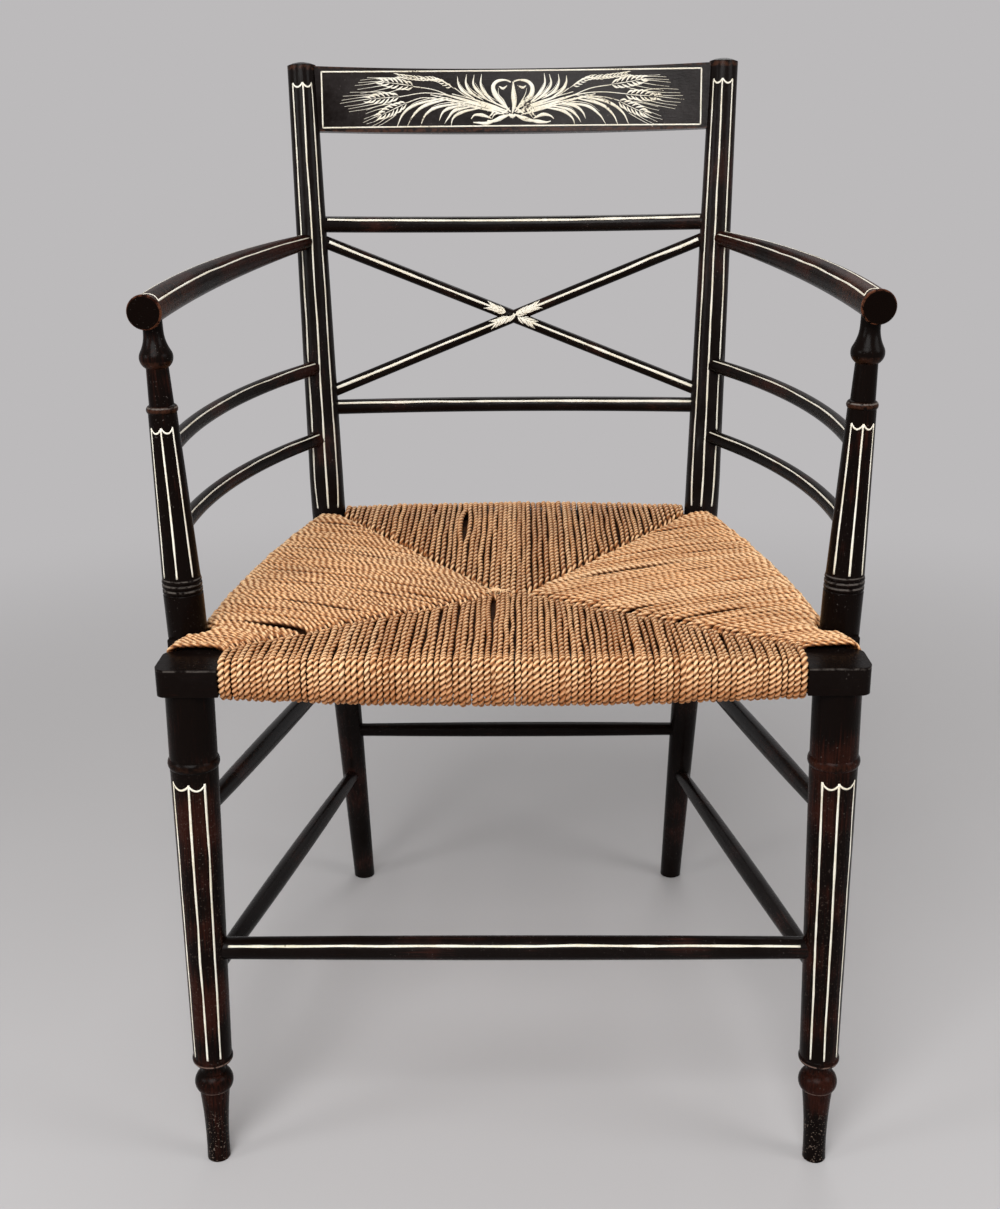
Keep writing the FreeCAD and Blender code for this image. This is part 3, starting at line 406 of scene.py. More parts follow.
# How far along a path each of its points lies
def walkedAlong(path):
    return np.concatenate([[0], np.cumsum(np.linalg.norm(np.diff(path, axis=0), axis=1))])


# A wandering value with a random mark at every knot
def drift(places, knot, amount):
    places = np.asarray(places, float)
    places = places - places.min()
    marks = dice.normal(size=int(places.max() / knot) + 3)
    return amount * np.interp(places / knot, np.arange(len(marks)), marks)


def resample(path, step):
    path = np.asarray(path, float)
    lengths = walkedAlong(path)
    count = max(int(round(lengths[-1] / step)) + 1, 3)
    marks = np.linspace(0, lengths[-1], count)
    return np.stack([np.interp(marks, lengths, path[:, axis]) for axis in range(path.shape[1])], 1)


# A smooth line through listed points
def flowing(points, step, cuts=12):
    points = np.asarray(points, float)
    ends = np.vstack([2 * points[0] - points[1], points, 2 * points[-1] - points[-2]])
    out = []
    for index in range(len(points) - 1):
        p0, p1, p2, p3 = ends[index:index + 4]
        for t in np.linspace(0, 1, cuts, endpoint=False):
            out.append(0.5 * (2 * p1 + (p2 - p0) * t + (2 * p0 - 5 * p1 + 4 * p2 - p3) * t * t
                              + (3 * p1 - p0 - 3 * p2 + p3) * t ** 3))
    out.append(points[-1])
    return resample(out, step)


trees = {}


def skin(name):
    if name not in trees:
        mesh = nodes[name].data
        trees[name] = BVHTree.FromPolygons([corner.co.copy() for corner in mesh.vertices],
                                           [tuple(face.vertices) for face in mesh.polygons])
    return trees[name]


# A round piece seen as a face: sideways runs round it from a facing direction, along runs down its axis
def roundFace(name, axis, facing, radius, reach=0.05):
    tree = skin(name)
    facing = Vector(facing).normalized()

    def face(sideways, along):
        centre, ahead = axis(along)
        out = (facing - ahead * facing.dot(ahead)).normalized()
        aside = ahead.cross(out)
        turn = sideways / radius
        ray = out * math.cos(turn) + aside * math.sin(turn)
        spot, normal = tree.ray_cast(centre + ray * reach, -ray, reach * 1.2)[:2]
        if spot is None:
            spot, normal = tree.find_nearest(centre + ray * radius)[:2]
        if normal.dot(ray) < 0:
            normal = -normal
        return np.array(spot), np.array((normal + ray).normalized())

    return face


def straightAxis(start, end):
    start, end = Vector(start), Vector(end)
    ahead = (end - start).normalized()
    return lambda along: (start + ahead * along, ahead)


def bowedAxis(start, end, bow, way):
    start, end = Vector(start), Vector(end)
    chord = (end - start).length
    ahead = (end - start).normalized()
    way = Vector(way)
    way = (way - ahead * way.dot(ahead)).normalized()
    radius = (chord * chord / 4 + bow * bow) / (2 * bow)
    centre = (start + end) / 2 + way * (bow - radius)

    def axis(along):
        turn = (along - chord / 2) / radius * (2 * math.asin(chord / 2 / radius) * radius / chord)
        return (centre + (way * math.cos(turn) + ahead * math.sin(turn)) * radius,
                ahead * math.cos(turn) - way * math.sin(turn))

    return axis, chord


postLine = {
    "bendAt": 0.44, "rake": 0.05, "rakeRise": 0.42,
    "footHalf": 0.172, "spread": 0.026, "rise": 0.86,
    "back": 0.1744, "square": (0, 0.993, -0.118),
}


def postSpot(side, height):
    rake = max(height - postLine["bendAt"], 0) * postLine["rake"] / postLine["rakeRise"]
    half = postLine["footHalf"] + postLine["spread"] * height / postLine["rise"]
    return Vector((half * side, postLine["back"] + rake, height))


def mirrored(spot, side):
    return Vector((spot[0] * side, spot[1], spot[2]))


creamPaint = {
    "cream": (0.90, 0.86, 0.75),
    "aged": (0.74, 0.66, 0.49),
    "worn": (0.030, 0.018, 0.013),
    "fine": (520.0, 3, 0.6), "broad": (38.0, 2, 0.5), "bumpDepth": 0.0001, "gloss": 0.35,
    "step": 0.0026, "wobble": (0.03, 0.00022), "swell": (0.012, 0.13),
    "scallop": 0.0040, "scallopCuts": 12,
}


def creamFinish(name, wornFrom):
    paint = Finish(name)
    place = paint.place()
    fine, broad = (paint.noise(place, *creamPaint[key]) for key in ("fine", "broad"))
    age = paint.smooth(fine * 0.6 + broad * 0.6, 0.45, 0.85)
    colour = paint.blend(age, creamPaint["cream"], creamPaint["aged"])
    bare = paint.smooth(fine * 0.55 + broad * 0.65, wornFrom, wornFrom + 0.06)
    colour = paint.blend(bare, colour, creamPaint["worn"])
    return paint.surface(colour, 0.42 + fine * 0.2, fine, creamPaint["bumpDepth"], creamPaint["gloss"])


lineBrush = Brush()


def lineStroke(face, start, end, width, sideways=0.0):
    places = np.arange(start, end + creamPaint["step"] / 2, creamPaint["step"])
    path = np.stack([sideways + drift(places, *creamPaint["wobble"]), places], 1)
    lineBrush.stroke(face, path, width * (1 + drift(places, *creamPaint["swell"])))


# A drooping stroke between the heads of two lines
def scallopStroke(face, first, second, head, width):
    share = np.linspace(0, 1, creamPaint["scallopCuts"])
    sag = creamPaint["scallop"] * 4 * share * (1 - share)
    lineBrush.stroke(face, np.stack([between(first, second, share), head - sag], 1), width)


# Where the lines run, on the right side
lineWork = {
    "columns": {  # foot, head, radius, angles from the front towards the middle, run of the lines, width
        "front_leg": ((0.2445, -0.2406, 0), (0.2385, -0.2406, 0.4135), 0.0168,
                      (-51, -4, 36), (0.101, 0.342), 0.0015),
        "back_post": (postSpot(1, 0.44), postSpot(1, 0.86), 0.0148, (-35, 8, 48), (0.003, 0.404), 0.0015),
        "arm_support": ((0.2505, -0.1806, 0.435), (0.259, -0.1806, 0.6825), 0.0125,
                        (-46, 1, 48), (0.0480, 0.163), 0.0013),
    },
    "headDrop": 0.0004,
    "arm": (0.699, (0.26, -0.191, 0.6825), 0.016, (-0.25, 0, 1), 0.0108, (0.018, 0.002), 0.0012),
    "armMarks": {-1: (-0.0072, 0.0070), 1: (0.0072, -0.0034)},
    "armHead": (0.0022, 0.0015),  # inset and width of the scallop
    "sideBars": {"upper": (0.580, 0.5785), "lower": (0.512, 0.5145)},  # heights at the post and the support
    "sideBar": (0.023, (-0.62, -0.25, 0.74), 0.0067, (0.016, 0.012), 0.0011),  # bow, facing, radius, insets, width
    "backBow": 0.030,
    "backBars": {  # heights at the posts, facing, radius, insets, width, and half the gap at the crossing
        "upper_back_rail": (0.7135, 0.7135, (0, -0.82, 0.57), 0.0076, (0.0145, 0.0145), 0.0021),
        "lower_back_rail": (0.5405, 0.5405, (0, -0.82, 0.57), 0.0072, (0.0145, 0.0145), 0.0021),
        "rising_cross_bar": (0.5515, 0.702, (0, -0.95, 0.28), 0.006, (0.016, 0.016), 0.0020, 0.021),
        "falling_cross_bar": (0.702, 0.5515, (0, -0.95, 0.28), 0.006, (0.016, 0.016), 0.0020, 0.021),
    },
    "stretcher": ((0.2417, -0.2406, 0.1945), (0, -0.78, 0.62), 0.0092, (0.019, 0.4644), 0.0018),
}


# Three lines down a turned piece, with a scalloped head
def linedColumn(name, side, foot, head, radius, angles, run, width):
    face = roundFace(name, straightAxis(mirrored(foot, side), mirrored(head, side)), (0, -1, 0), radius)
    marks = [math.radians(angle) * radius * -side for angle in angles]
    for mark in marks:
        lineStroke(face, *run, width, mark)
    for first, second in zip(marks, marks[1:]):
        scallopStroke(face, first, second, run[1] - lineWork["headDrop"], width)


# Lines down a bowed bar, in one run or with a gap at its middle
def linedBar(name, start, end, bow, way, facing, radius, insets, width, gap=None, marks=(0.0,)):
    axis, run = bowedAxis(start, end, bow, way)
    face = roundFace(name, axis, facing, radius)
    stops = [insets[0], run - insets[1]]
    if gap:
        stops[1:1] = [run / 2 - gap, run / 2 + gap]
    for low, high in zip(stops[::2], stops[1::2]):
        for mark in marks:
            lineStroke(face, low, high, width, mark)
    return face, run


# A bar on one side of the chair, from its post to a spot at the front
def linedSideBar(name, side, rear, tip, bow, facing, *plan, **marks):
    return linedBar(name, postSpot(side, rear), mirrored(tip, side), bow, (side, 0, 0),
                    mirrored(facing, side), *plan, **marks)


def paintLines():
    foot, head = lineWork["columns"]["arm_support"][:2]
    headInset, headWidth = lineWork["armHead"]
    for word, side in (("left", -1), ("right", 1)):
        for kind, column in lineWork["columns"].items():
            linedColumn(f"{word}_{kind}", side, *column)
        marks = lineWork["armMarks"][side]
        face, run = linedSideBar(word + "_arm", side, *lineWork["arm"], marks=marks)
        scallopStroke(face, *marks, run - headInset, headWidth)
        for level, (rear, front) in lineWork["sideBars"].items():
            lean = (front - foot[2]) / (head[2] - foot[2])
            tip = between(foot[0], head[0], lean), foot[1], front
            linedSideBar(f"{word}_{level}_side_bar", side, rear, tip, *lineWork["sideBar"])
    bowed = lineWork["backBow"], postLine["square"]
    barFaces = [linedBar(name, postSpot(-1, left), postSpot(1, right), *bowed, *bar)
                for name, (left, right, *bar) in lineWork["backBars"].items()]
    end, facing, radius, run, width = lineWork["stretcher"]
    face = roundFace("front_stretcher", straightAxis(mirrored(end, -1), end), facing, radius)
    lineStroke(face, *run, width)
    return barFaces[2:]


crossFaces = paintLines()
lineBrush.dry("painted_lines", creamFinish("linePaint", 0.80))
print("lines painted")


# The width along a leaf or a blade
def taper(count, width, full=0.4, tip=0.15):
    share = np.linspace(0, 1, count)
    rise = np.clip(share / full, 0, 1) ** 0.6
    fall = np.clip((1 - share) / (1 - full), 0, 1) ** 0.7
    return width * np.maximum(np.minimum(rise, fall), tip)


# Leaf sprays at the crossing: a run of short slanted blades each side of the middle
crossSpray = {
    "nearest": (0.0, 0.0065), "furthest": 0.020, "spacing": 0.0032,
    "reach": 0.0075, "reachLoose": 0.001, "spread": 0.0042, "spreadLoose": 0.0006,
    "bend": (0.55, 0.45), "bladeWidth": 0.0021, "bladeStep": 0.0012,
    "stem": (0.012, 0.023), "stemWidth": 0.0018, "stemStep": 0.002,
}
sprayBrush = Brush()


def paintCrossing(plan):
    across, ahead = plan["bend"]
    for (face, run), nearest in zip(crossFaces, plan["nearest"]):
        for way in (-1, 1):
            for place in np.arange(nearest, plan["furthest"], plan["spacing"]):
                for hand in (-1, 1):
                    start = run / 2 + way * place
                    reach = plan["reach"] + dice.uniform(-plan["reachLoose"], plan["reachLoose"])
                    spread = hand * (plan["spread"] + dice.uniform(-plan["spreadLoose"], plan["spreadLoose"]))
                    blade = [(0.0, start), (spread * across, start + way * reach * ahead),
                             (spread, start + way * reach)]
                    path = flowing(blade, plan["bladeStep"])
                    sprayBrush.stroke(face, path, taper(len(path), plan["bladeWidth"]))
            stem = [(0.0, run / 2 + way * place) for place in (nearest, *plan["stem"])]
            sprayBrush.stroke(face, resample(stem, plan["stemStep"]), plan["stemWidth"])


paintCrossing(crossSpray)

# Wheat ears, leaves and a tied bow on the crest, in millimetres from its middle
milli = 0.001
crestArt = {
    "middle": 0.827,
    "inFront": -0.2, "depth": 0.2,
    "step": 0.0015, "body": (0.00020, 0.00010, 0.00015),
    "frame": (-179, 177, 24.5, -25.5), "frameWidth": 1.25, "frameStep": 0.003,
    "stems": (
        ((-4, -13), (-30, -7), (-56, 0.5), (-74, 8), (-94, 11)),
        ((-6, -12), (-32, -5), (-60, 2), (-84, 5), (-107.5, 2)),
        ((-6, -13.5), (-40, -5), (-70, 0), (-86, 0), (-101, -4)),
        ((-5, -14), (-30, -8), (-52, -2), (-78, 3)), ((-4, -12), (-24, -6), (-42, 1), (-55, 8.5)),
        ((-8, -15), (-28, -10), (-46, -6), (-66, -1)), ((-10, -9), (-34, -1.5), (-58, 4.5)),
        ((-14, -13), (-38, -7.5), (-60, -3.5)), ((-3, -10), (-20, -3), (-33, 2)),
    ),
    "upperBlades": (
        ((-36, -1), (-47, 6), (-51.5, 13), (-52, 19.5)),
        ((-28, -2), (-39, 5), (-44.5, 13), (-43.8, 21.5)),
        ((-21, -4), (-30, 3), (-36.5, 12), (-36, 21)),
        ((-14, -6), (-23, 0), (-30.5, 11), (-29.5, 21.5)),
    ),
    "lowerBlades": (
        ((-66, 1), (-91, -5), (-104, -14), (-110.6, -25.5)),
        ((-58, 0), (-84, -7), (-95.5, -16), (-100.5, -26)),
        ((-50, -5), (-72, -8), (-83, -15), (-88.7, -25)),
        ((-44, -6), (-60, -9), (-67, -13.5), (-69.8, -20.2)),
        ((-38, -8), (-54, -11), (-61.5, -17), (-65, -23)),
        ((-30, -9), (-47, -12), (-57, -18), (-59.7, -25)),
    ),
    "feather": ((-55, 8.5), (-68, 16), (-82, 17.2), (-96, 18.5), (-109.5, 20.5)),
    "ears": (
        ((-94, 11), (-127, 16), (-149, 12), 10.5),
        ((-107.5, 2), (-139, -0.5), (-162, -3.5), 10.5),
        ((-101, -4), (-129, -16.5), (-142, -21.5), 11),
    ),
    "bow": (
        (((-2, -13), (-9, -5), (-16.5, 2), (-18.5, 10), (-14.5, 15), (-7, 15.8), (-1.5, 14)), 4.6),
        (((-4, -10), (-9, -2), (-13, 4), (-14, 9)), 1.1),
        (((-13, 11), (-9, 8.6), (-5, 11)), 2.4),
        (((-2, -15), (-10, -18), (-18, -21), (-24, -21)), 4.4),
        (((-14, -19.5), (-24, -22.3), (-32, -22.6), (-37, -21.8)), 3.4),
        (((-20, -19), (-28, -15.5), (-36, -16), (-39.5, -19)), 3.2),
        (((-22, -17), (-19, -13), (-21, -10), (-24, -12)), 2.2),
        (((-3, -9), (-8, -13), (-13, -15)), 2.0),
        (((-12, -14), (-17, -15.5), (-20, -19)), 1.6),
    ),
    "petal": ((0, -14), (1.2, -6), (1, 6), (0, 14.5)),
    "knot": ((-3, -15), (0, -17), (3, -15)),
    "barbStep": 3.6, "barbReach": -6.0,
}


def crestFace(sideways, along):
    tree = skin("crest_rail")
    height = crestArt["middle"] + along
    spot, normal = tree.ray_cast(Vector((sideways, crestArt["inFront"], height)), Vector((0, 1, 0)), 1.0)[:2]
    if spot is None:
        spot, normal = tree.find_nearest(Vector((sideways, crestArt["depth"], height)))[:2]
    if normal.y > 0:
        normal = -normal
    return np.array(spot), np.array(normal)


def crestStroke(points, width, hand=1, full=0.4, tip=0.15, loose=0.35):
    points = np.asarray(points, float) * milli
    points = points + dice.normal(size=points.shape) * loose * milli
    points[:, 0] *= hand
    path = flowing(points, crestArt["step"])
    sprayBrush.stroke(crestFace, path, taper(len(path), width * milli, full, tip), *crestArt["body"])


# Rows of grains up an ear, then the beards beyond them
def wheatEar(ear, hand, rows=7, rowGap=0.135, grainReach=7.2, beards=7):
    start, end, tail = (np.array(spot, float) for spot in ear[:3])
    width = ear[3]
    ahead = (end - start) / np.linalg.norm(end - start)
    aside = np.array([-ahead[1], ahead[0]])
    length = np.linalg.norm(end - start)
    for row in range(rows):
        at = start + ahead * (length * (0.02 + row * rowGap))
        swell = width * 0.5 * math.sin(math.pi * min(0.26 + row * 0.11, 0.86))
        for way in (-1, 1):
            root = at + aside * way * swell * 0.20
            tip = at + ahead * grainReach + aside * way * swell * 0.95
            mid = (root + tip) / 2 + aside * way * 1.1
            crestStroke([root, mid, tip], 1.9, hand, 0.5, 0.2, loose=0.25)
    crestStroke([start, (start + end) / 2, end], 0.8, hand, 0.3, 0.4)
    for way in np.linspace(-1, 1, beards):
        root = end - ahead * length * (0.15 + 0.42 * abs(way)) + aside * way * width * 0.48
        tip = tail - ahead * 9 * abs(way) * dice.uniform(0.5, 1.2) + aside * way * width * 0.80
        mid = (root + tip) / 2 + aside * way * 0.9
        crestStroke([root, mid, tip], 0.62, hand, 0.15, 0.5, loose=0.4)


def paintCrest():
    left, right, top, bottom = crestArt["frame"]
    corners = [(left, bottom), (left, top), (right, top), (right, bottom), (left, bottom)]
    for first, second in zip(corners, corners[1:]):
        path = resample(np.array([first, second]) * milli, crestArt["frameStep"])
        sprayBrush.stroke(crestFace, path, crestArt["frameWidth"] * milli)
    for hand in (1, -1):
        for stem in crestArt["stems"]:
            crestStroke(stem, 1.6, hand, 0.15, 0.45)
        for blade in crestArt["upperBlades"] + crestArt["lowerBlades"]:
            crestStroke(blade, 2.7, hand, 0.55, 0.12)
            crestStroke(np.array(blade)[:3] + (0.4, 2.2), 0.7, hand, 0.3, 0.3)
        crestStroke(crestArt["feather"], 1.3, hand, 0.2, 0.3)
        spine = flowing(crestArt["feather"], crestArt["barbStep"])
        for spot in spine[1:-1]:
            for way in (-1, 1):
                tip = spot + np.array([crestArt["barbReach"], 1.2 + 1.7 * way])
                mid = (spot + tip) / 2 + (0, way * 0.7)
                crestStroke([spot, mid, tip], 1.25, hand, 0.45, 0.2, loose=0.2)
        for ear in crestArt["ears"]:
            wheatEar(ear, hand)
        for points, width in crestArt["bow"]:
            crestStroke(points, width, hand, 0.45, 0.3)
    crestStroke(crestArt["petal"], 5.4, 1, 0.5, 0.25)
    crestStroke(crestArt["knot"], 4.5, 1, 0.5, 0.5)


paintCrest()
sprayBrush.dry("painted_sprays", creamFinish("sprayPaint", 0.73))
print("crest painted")

# Rush: two-ply cords wound over the rails, in panels that meet along the corner seams
rushCord = {
    "sideThick": 0.0049, "lobeThick": 0.0034,
    # The groove weights paint shade into the groove between the plies; the roll tone is a painted highlight, and
    # the front and back cords are set darker than the side cords as painted shade
    "sideTone": 0.57, "crossTone": 0.42, "rollHighlight": 0.16, "crossGrooveShade": 0.80, "sideGrooveShade": 0.68,
    "crossTurns": (0.0096, 0.0180), "sideTurns": (0.0112, 0.0114),  # length of a twist on the roll and on top
    "turnRun": 0.014, "underTurn": 0.034,
    "sides": 12, "crossStep": 0.0016, "sideStep": 0.0012, "rollStep": 0.0011, "underStep": 0.0044,
    "roll": 0.0088, "rollFull": 0.19, "rollRun": 0.024, "rollSteady": 0.7, "bendSteps": 13,
    "top": 0.43815, "under": 0.41085, "dish": 0.006, "dive": 0.0055, "diveRun": 0.009,
    "swell": 0.0013, "lap": 0.005, "planPull": 0.45,
    "panels": {  # cords, half width, corner and edge in y, way in, hang, crown, thickness
        "front": (44, 0.2129, -0.2206, -0.2573, 1, 0.0062, 0, 0.0043),
        "back": (31, 0.1677, 0.157, 0.1904, -1, 0, 0.004, 0.0047),
    },
    "apexY": -0.0756, "bridgeCount": 5, "bridgeHalf": 0.011, "bridgeSpread": 0.82, "sideLean": (0.99, 0.14),
    "supportSpot": (0.2505, -0.1806), "supportClear": 0.0180,
    "lobeCount": 6, "lobeReach": 0.0080, "lobeRise": 0.0018,
    "shade": (0.58, 0.22, 0.80),  # painted shade in the creases all round, how much less on the roll, and more towards the seat
    "railFrom": -0.2206, "railHalf": 0.247, "railNarrows": 0.056, "railRun": 0.3776, "railProud": 0.0025,
    "railBow": 0.008, "bowFrom": -0.1646, "bowRun": 0.3216,
}
# How cords differ from each other and, as (knot, amount), how one wanders along its length
cordLoose = {
    "top": 0.00030, "under": 0.00035, "out": 0.00035, "shift": 0.0002,
    "thick": 0.075, "pitch": 0.10, "tone": 0.12, "waveStep": 0.0018,
    "wave": (0.02, 0.00022), "stray": (0.03, 0.00042), "twist": (0.04, 0.25),
    "fat": (0.018, 0.05), "patchy": (0.05, 0.08),
}


def railEdge(y):
    share = (y - rushCord["railFrom"]) / rushCord["railRun"]
    bowed = np.clip((y - rushCord["bowFrom"]) / rushCord["bowRun"], 0, 1)
    bow = rushCord["railBow"] * 4 * bowed * (1 - bowed)
    return rushCord["railHalf"] - rushCord["railNarrows"] * share + bow + rushCord["railProud"]


# Angles round a cord's section, and its outline in its own untwisted frame: two plies side by side
cordTurn = np.arange(rushCord["sides"]) * 2 * math.pi / rushCord["sides"]
cordPlies = 0.54 + 0.46 * np.abs(np.cos(cordTurn)) ** 0.85


# Rings of points round a path, from angles and sizes for each ring
def ringsRound(path, side, rise, angle, size):
    return (path[:, None, :] + side[:, None, :] * (np.cos(angle) * size)[:, :, None]
            + rise[:, None, :] * (np.sin(angle) * size)[:, :, None])


class Winding:
    def __init__(self, name):
        self.name = name
        self.rings = []

    # One cord: from its seam over the top, round the rail and back below to its seam
    def wind(self, edge, seam, lean, full, thick, hang=0.0, crown=0.0, dives=True, push=None, kind="cross"):
        cord, loose = rushCord, cordLoose
        # The front and back cords take a darker tone than the side cords: painted shade
        shade, turns, step, grooveShadeWeight = (cord[kind + part] for part in ("Tone", "Turns", "Step", "GrooveShade"))
        edge, seam = np.array(edge, float), np.array(seam, float)
        roll = cord["roll"]
        run = float(np.linalg.norm(seam - edge))
        topHigh = cord["top"] + crown + dice.normal() * loose["top"]
        low = cord["under"] - hang + dice.normal() * loose["under"]
        drop = topHigh - low - 2 * roll
        out = dice.normal() * loose["out"]
        topIn = np.arange(run, roll, -step)
        bend = np.linspace(0, math.pi / 2, cord["bendSteps"])[:-1]
        fall = np.linspace(0, drop, max(int(drop / cord["rollStep"]), 2))
        underIn = np.arange(roll, run, cord["underStep"])
        parts = ((topIn, topHigh, 1),
                 (roll - roll * np.sin(bend), topHigh - roll + roll * np.cos(bend), 1),
                 (0, topHigh - roll - fall, 0),
                 (roll - roll * np.cos(bend[1:]), low + roll - roll * np.sin(bend[1:]), -1),
                 (underIn, low, -1))
        inward, height, above = np.hstack([np.broadcast_arrays(*part) for part in parts])
        dip = np.clip((inward - roll) / max(full - roll, 0.01), 0, 1)
        sink = cord["dish"] * dip + np.where(above > 0, crown * dip, 0)
        if dives:
            near = np.clip((inward - run + cord["diveRun"]) / cord["diveRun"], 0, 1)
            sink = sink + cord["dive"] * near * near
        share = np.clip(inward / run, 0, 1)
        swell = cord["swell"] * np.sin(math.pi * share)
        wave = drift(np.arange(len(inward)) * loose["waveStep"], *loose["wave"])
        height = height - above * (sink - swell) + wave
        share = share[:, None]
        control = edge + np.array(lean) * run * cord["planPull"]
        plan = edge * (1 - share) ** 2 + 2 * control * share * (1 - share) + seam * share ** 2
        ahead = 2 * (control - edge) * (1 - share) + 2 * (seam - control) * share
        ahead /= np.linalg.norm(ahead, axis=1)[:, None]
        aside = np.stack([-ahead[:, 1], ahead[:, 0]], 1)
        plan = plan - ahead * (out * (1 - share))
        onRoll = np.clip(1 - inward / cord["rollRun"], 0, 1)
        stray = drift(inward, *loose["stray"]) + dice.normal() * loose["shift"]
        plan = plan + aside * (stray * (1 - cord["rollSteady"] * onRoll))[:, None]
        if push is not None:
            plan = plan + aside * push(inward)[:, None]
        path = np.column_stack([plan, height])
        tangent = np.gradient(path, axis=0)
        tangent /= np.linalg.norm(tangent, axis=1)[:, None]
        side = np.column_stack([aside, np.zeros(len(aside))])
        rise = np.cross(tangent, side)
        radius = thick * (1 + dice.normal() * loose["thick"]) / 2 * cordPlies
        walked = walkedAlong(path)
        pitch = turns[0] * (1 + dice.normal() * loose["pitch"])
        slack = turns[0] / turns[1]
        tight = np.clip(1 - (topIn - roll) / cord["turnRun"], 0, 1)
        rate = np.concatenate([slack + (1 - slack) * tight, np.ones(len(path) - len(topIn) - len(underIn)),
                               np.full(len(underIn), turns[0] / cord["underTurn"])])
        wound = np.concatenate([[0], np.cumsum(np.diff(walked) * rate[1:])])
        twist = wound * 2 * math.pi / pitch + dice.uniform(0, 2 * math.pi) + drift(walked, *loose["twist"])
        fat = 1 + drift(walked, *loose["fat"]) + cord["rollFull"] * onRoll
        angle = cordTurn[None, :] + twist[:, None]
        ring = ringsRound(path, side, rise, angle, radius[None, :] * fat[:, None])
        local = np.stack([np.cos(cordTurn) * radius, np.sin(cordTurn) * radius], 1)
        fibre = np.concatenate([np.broadcast_to(local, (len(path),) + local.shape) + dice.uniform(0, 1),
                                np.broadcast_to(walked[:, None, None], (len(path), len(cordTurn), 1))], 2)
        # Tone per cord: random, drifting along it, and lifted on the roll as a painted highlight
        tones = shade + dice.normal() * loose["tone"] + drift(walked, *loose["patchy"]) + cord["rollHighlight"] * onRoll
        # Painted shade: dark in the groove between the plies, in the creases all round and towards the seat, less
        # on the roll
        grooveShade = np.clip(1.4 * (1 - np.abs(np.cos(cordTurn)) ** 0.9), 0, 1)
        shadeAllRound, lessShadeOnRoll, shadeTowardsSeat = cord["shade"]
        paintedShade = np.clip(shadeAllRound - lessShadeOnRoll * onRoll[:, None] + shadeTowardsSeat * np.sin(angle), 0, 1)
        self.rings.append((ring, fibre, np.broadcast_to(np.clip(tones, 0, 1)[:, None], angle.shape),
                           np.clip(grooveShade[None, :] * grooveShadeWeight + paintedShade, 0, 1)))

    # Loose fibres where a cord's end has come out of the weave
    def fray(self, end):
        share = np.linspace(0, 1, end["rings"])
        for _ in range(end["count"]):
            heading = math.radians(dice.uniform(*end["headings"]))
            ahead = np.array([(math.cos(heading), math.sin(heading), 0)])
            aside = np.array([(-ahead[0, 1], ahead[0, 0], 0)])
            run = dice.uniform(*end["run"])
            root = np.array(end["spot"]) + np.append(dice.normal(0, end["scatter"], 2), 0)
            curl = dice.normal() * 0.2 * run * share ** 2
            path = root + ahead * (share * run)[:, None] + aside * curl[:, None]
            path[:, 2] += dice.uniform(0.4, 1) * end["rise"] * np.sin(math.pi * share * 0.8)
            radius = end["thick"] / 2 * (1 - 0.7 * share)[:, None]
            ring = ringsRound(path, aside, np.array([(0, 0, 1)]), cordTurn, radius)
            # Loose fibres carry no painted crease shade
            self.rings.append((ring, ring + dice.uniform(0, 1), np.ones(ring.shape[:2]), np.zeros(ring.shape[:2])))

    # The cords as one mesh; in its map each cord has a band with a gap round it
    def weave(self, material, margin=0.004, gap=0.04, cap=0.001):
        sides = rushCord["sides"]
        faces, maps, caps = [], [], []
        first = 0
        for number, (ring, *_) in enumerate(self.rings):
            count = len(ring)
            row, column = np.meshgrid(np.arange(count - 1), np.arange(sides), indexing="ij")
            after = (column + 1) % sides
            corner = np.stack([row * sides + column, (row + 1) * sides + column,
                               (row + 1) * sides + after, row * sides + after], 2)
            faces.append(corner.reshape(-1, 4) + first)
            across = np.stack([row, row + 1, row + 1, row], 2) / (count - 1)
            along = np.stack([column, column, column + 1, column + 1], 2) / sides
            band = (number + gap + (1 - 2 * gap) * along) / len(self.rings)
            maps.append(np.stack([margin + (1 - 2 * margin) * across, band], 3).reshape(-1, 2))
            last = first + count * sides
            caps += [np.arange(first, first + sides), np.arange(last - 1, last - sides - 1, -1)]
            first = last
        quads = np.concatenate(faces)
        corners = np.concatenate([quads.ravel(), *caps])
        starts = np.concatenate([np.arange(len(quads)) * 4, len(quads) * 4 + np.arange(len(caps)) * sides])
        points, fibres, tones, creaseShades = (
            np.concatenate([part.reshape(len(part) * sides, -1) for part in parts]).astype(np.float32).ravel()
            for parts in zip(*self.rings))
        mesh = bpy.data.meshes.new(self.name)
        mesh.vertices.add(len(points) // 3)
        mesh.vertices.foreach_set("co", points)
        mesh.loops.add(len(corners))
        mesh.loops.foreach_set("vertex_index", corners.astype(np.int32))
        mesh.polygons.add(len(starts))
        mesh.polygons.foreach_set("loop_start", starts.astype(np.int32))
        mesh.update(calc_edges=True)
        spots = np.concatenate(maps + [np.full((len(caps) * sides, 2), cap)])
        mesh.uv_layers.new(name="OFBake").uv.foreach_set("vector", spots.astype(np.float32).ravel())
        # The crease values are painted shade; their lowest values mark the crests that take a painted highlight
        for label, kind, field, values in (
                ("tone", "FLOAT", "value", tones), ("creaseShade", "FLOAT", "value", creaseShades),
                ("fibre", "FLOAT_VECTOR", "vector", fibres)):
            mesh.attributes.new(label, kind, "POINT").data.foreach_set(field, values)
        piece = newPiece(self.name, mesh, material)
        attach(piece, "root")
        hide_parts("rush_seat")


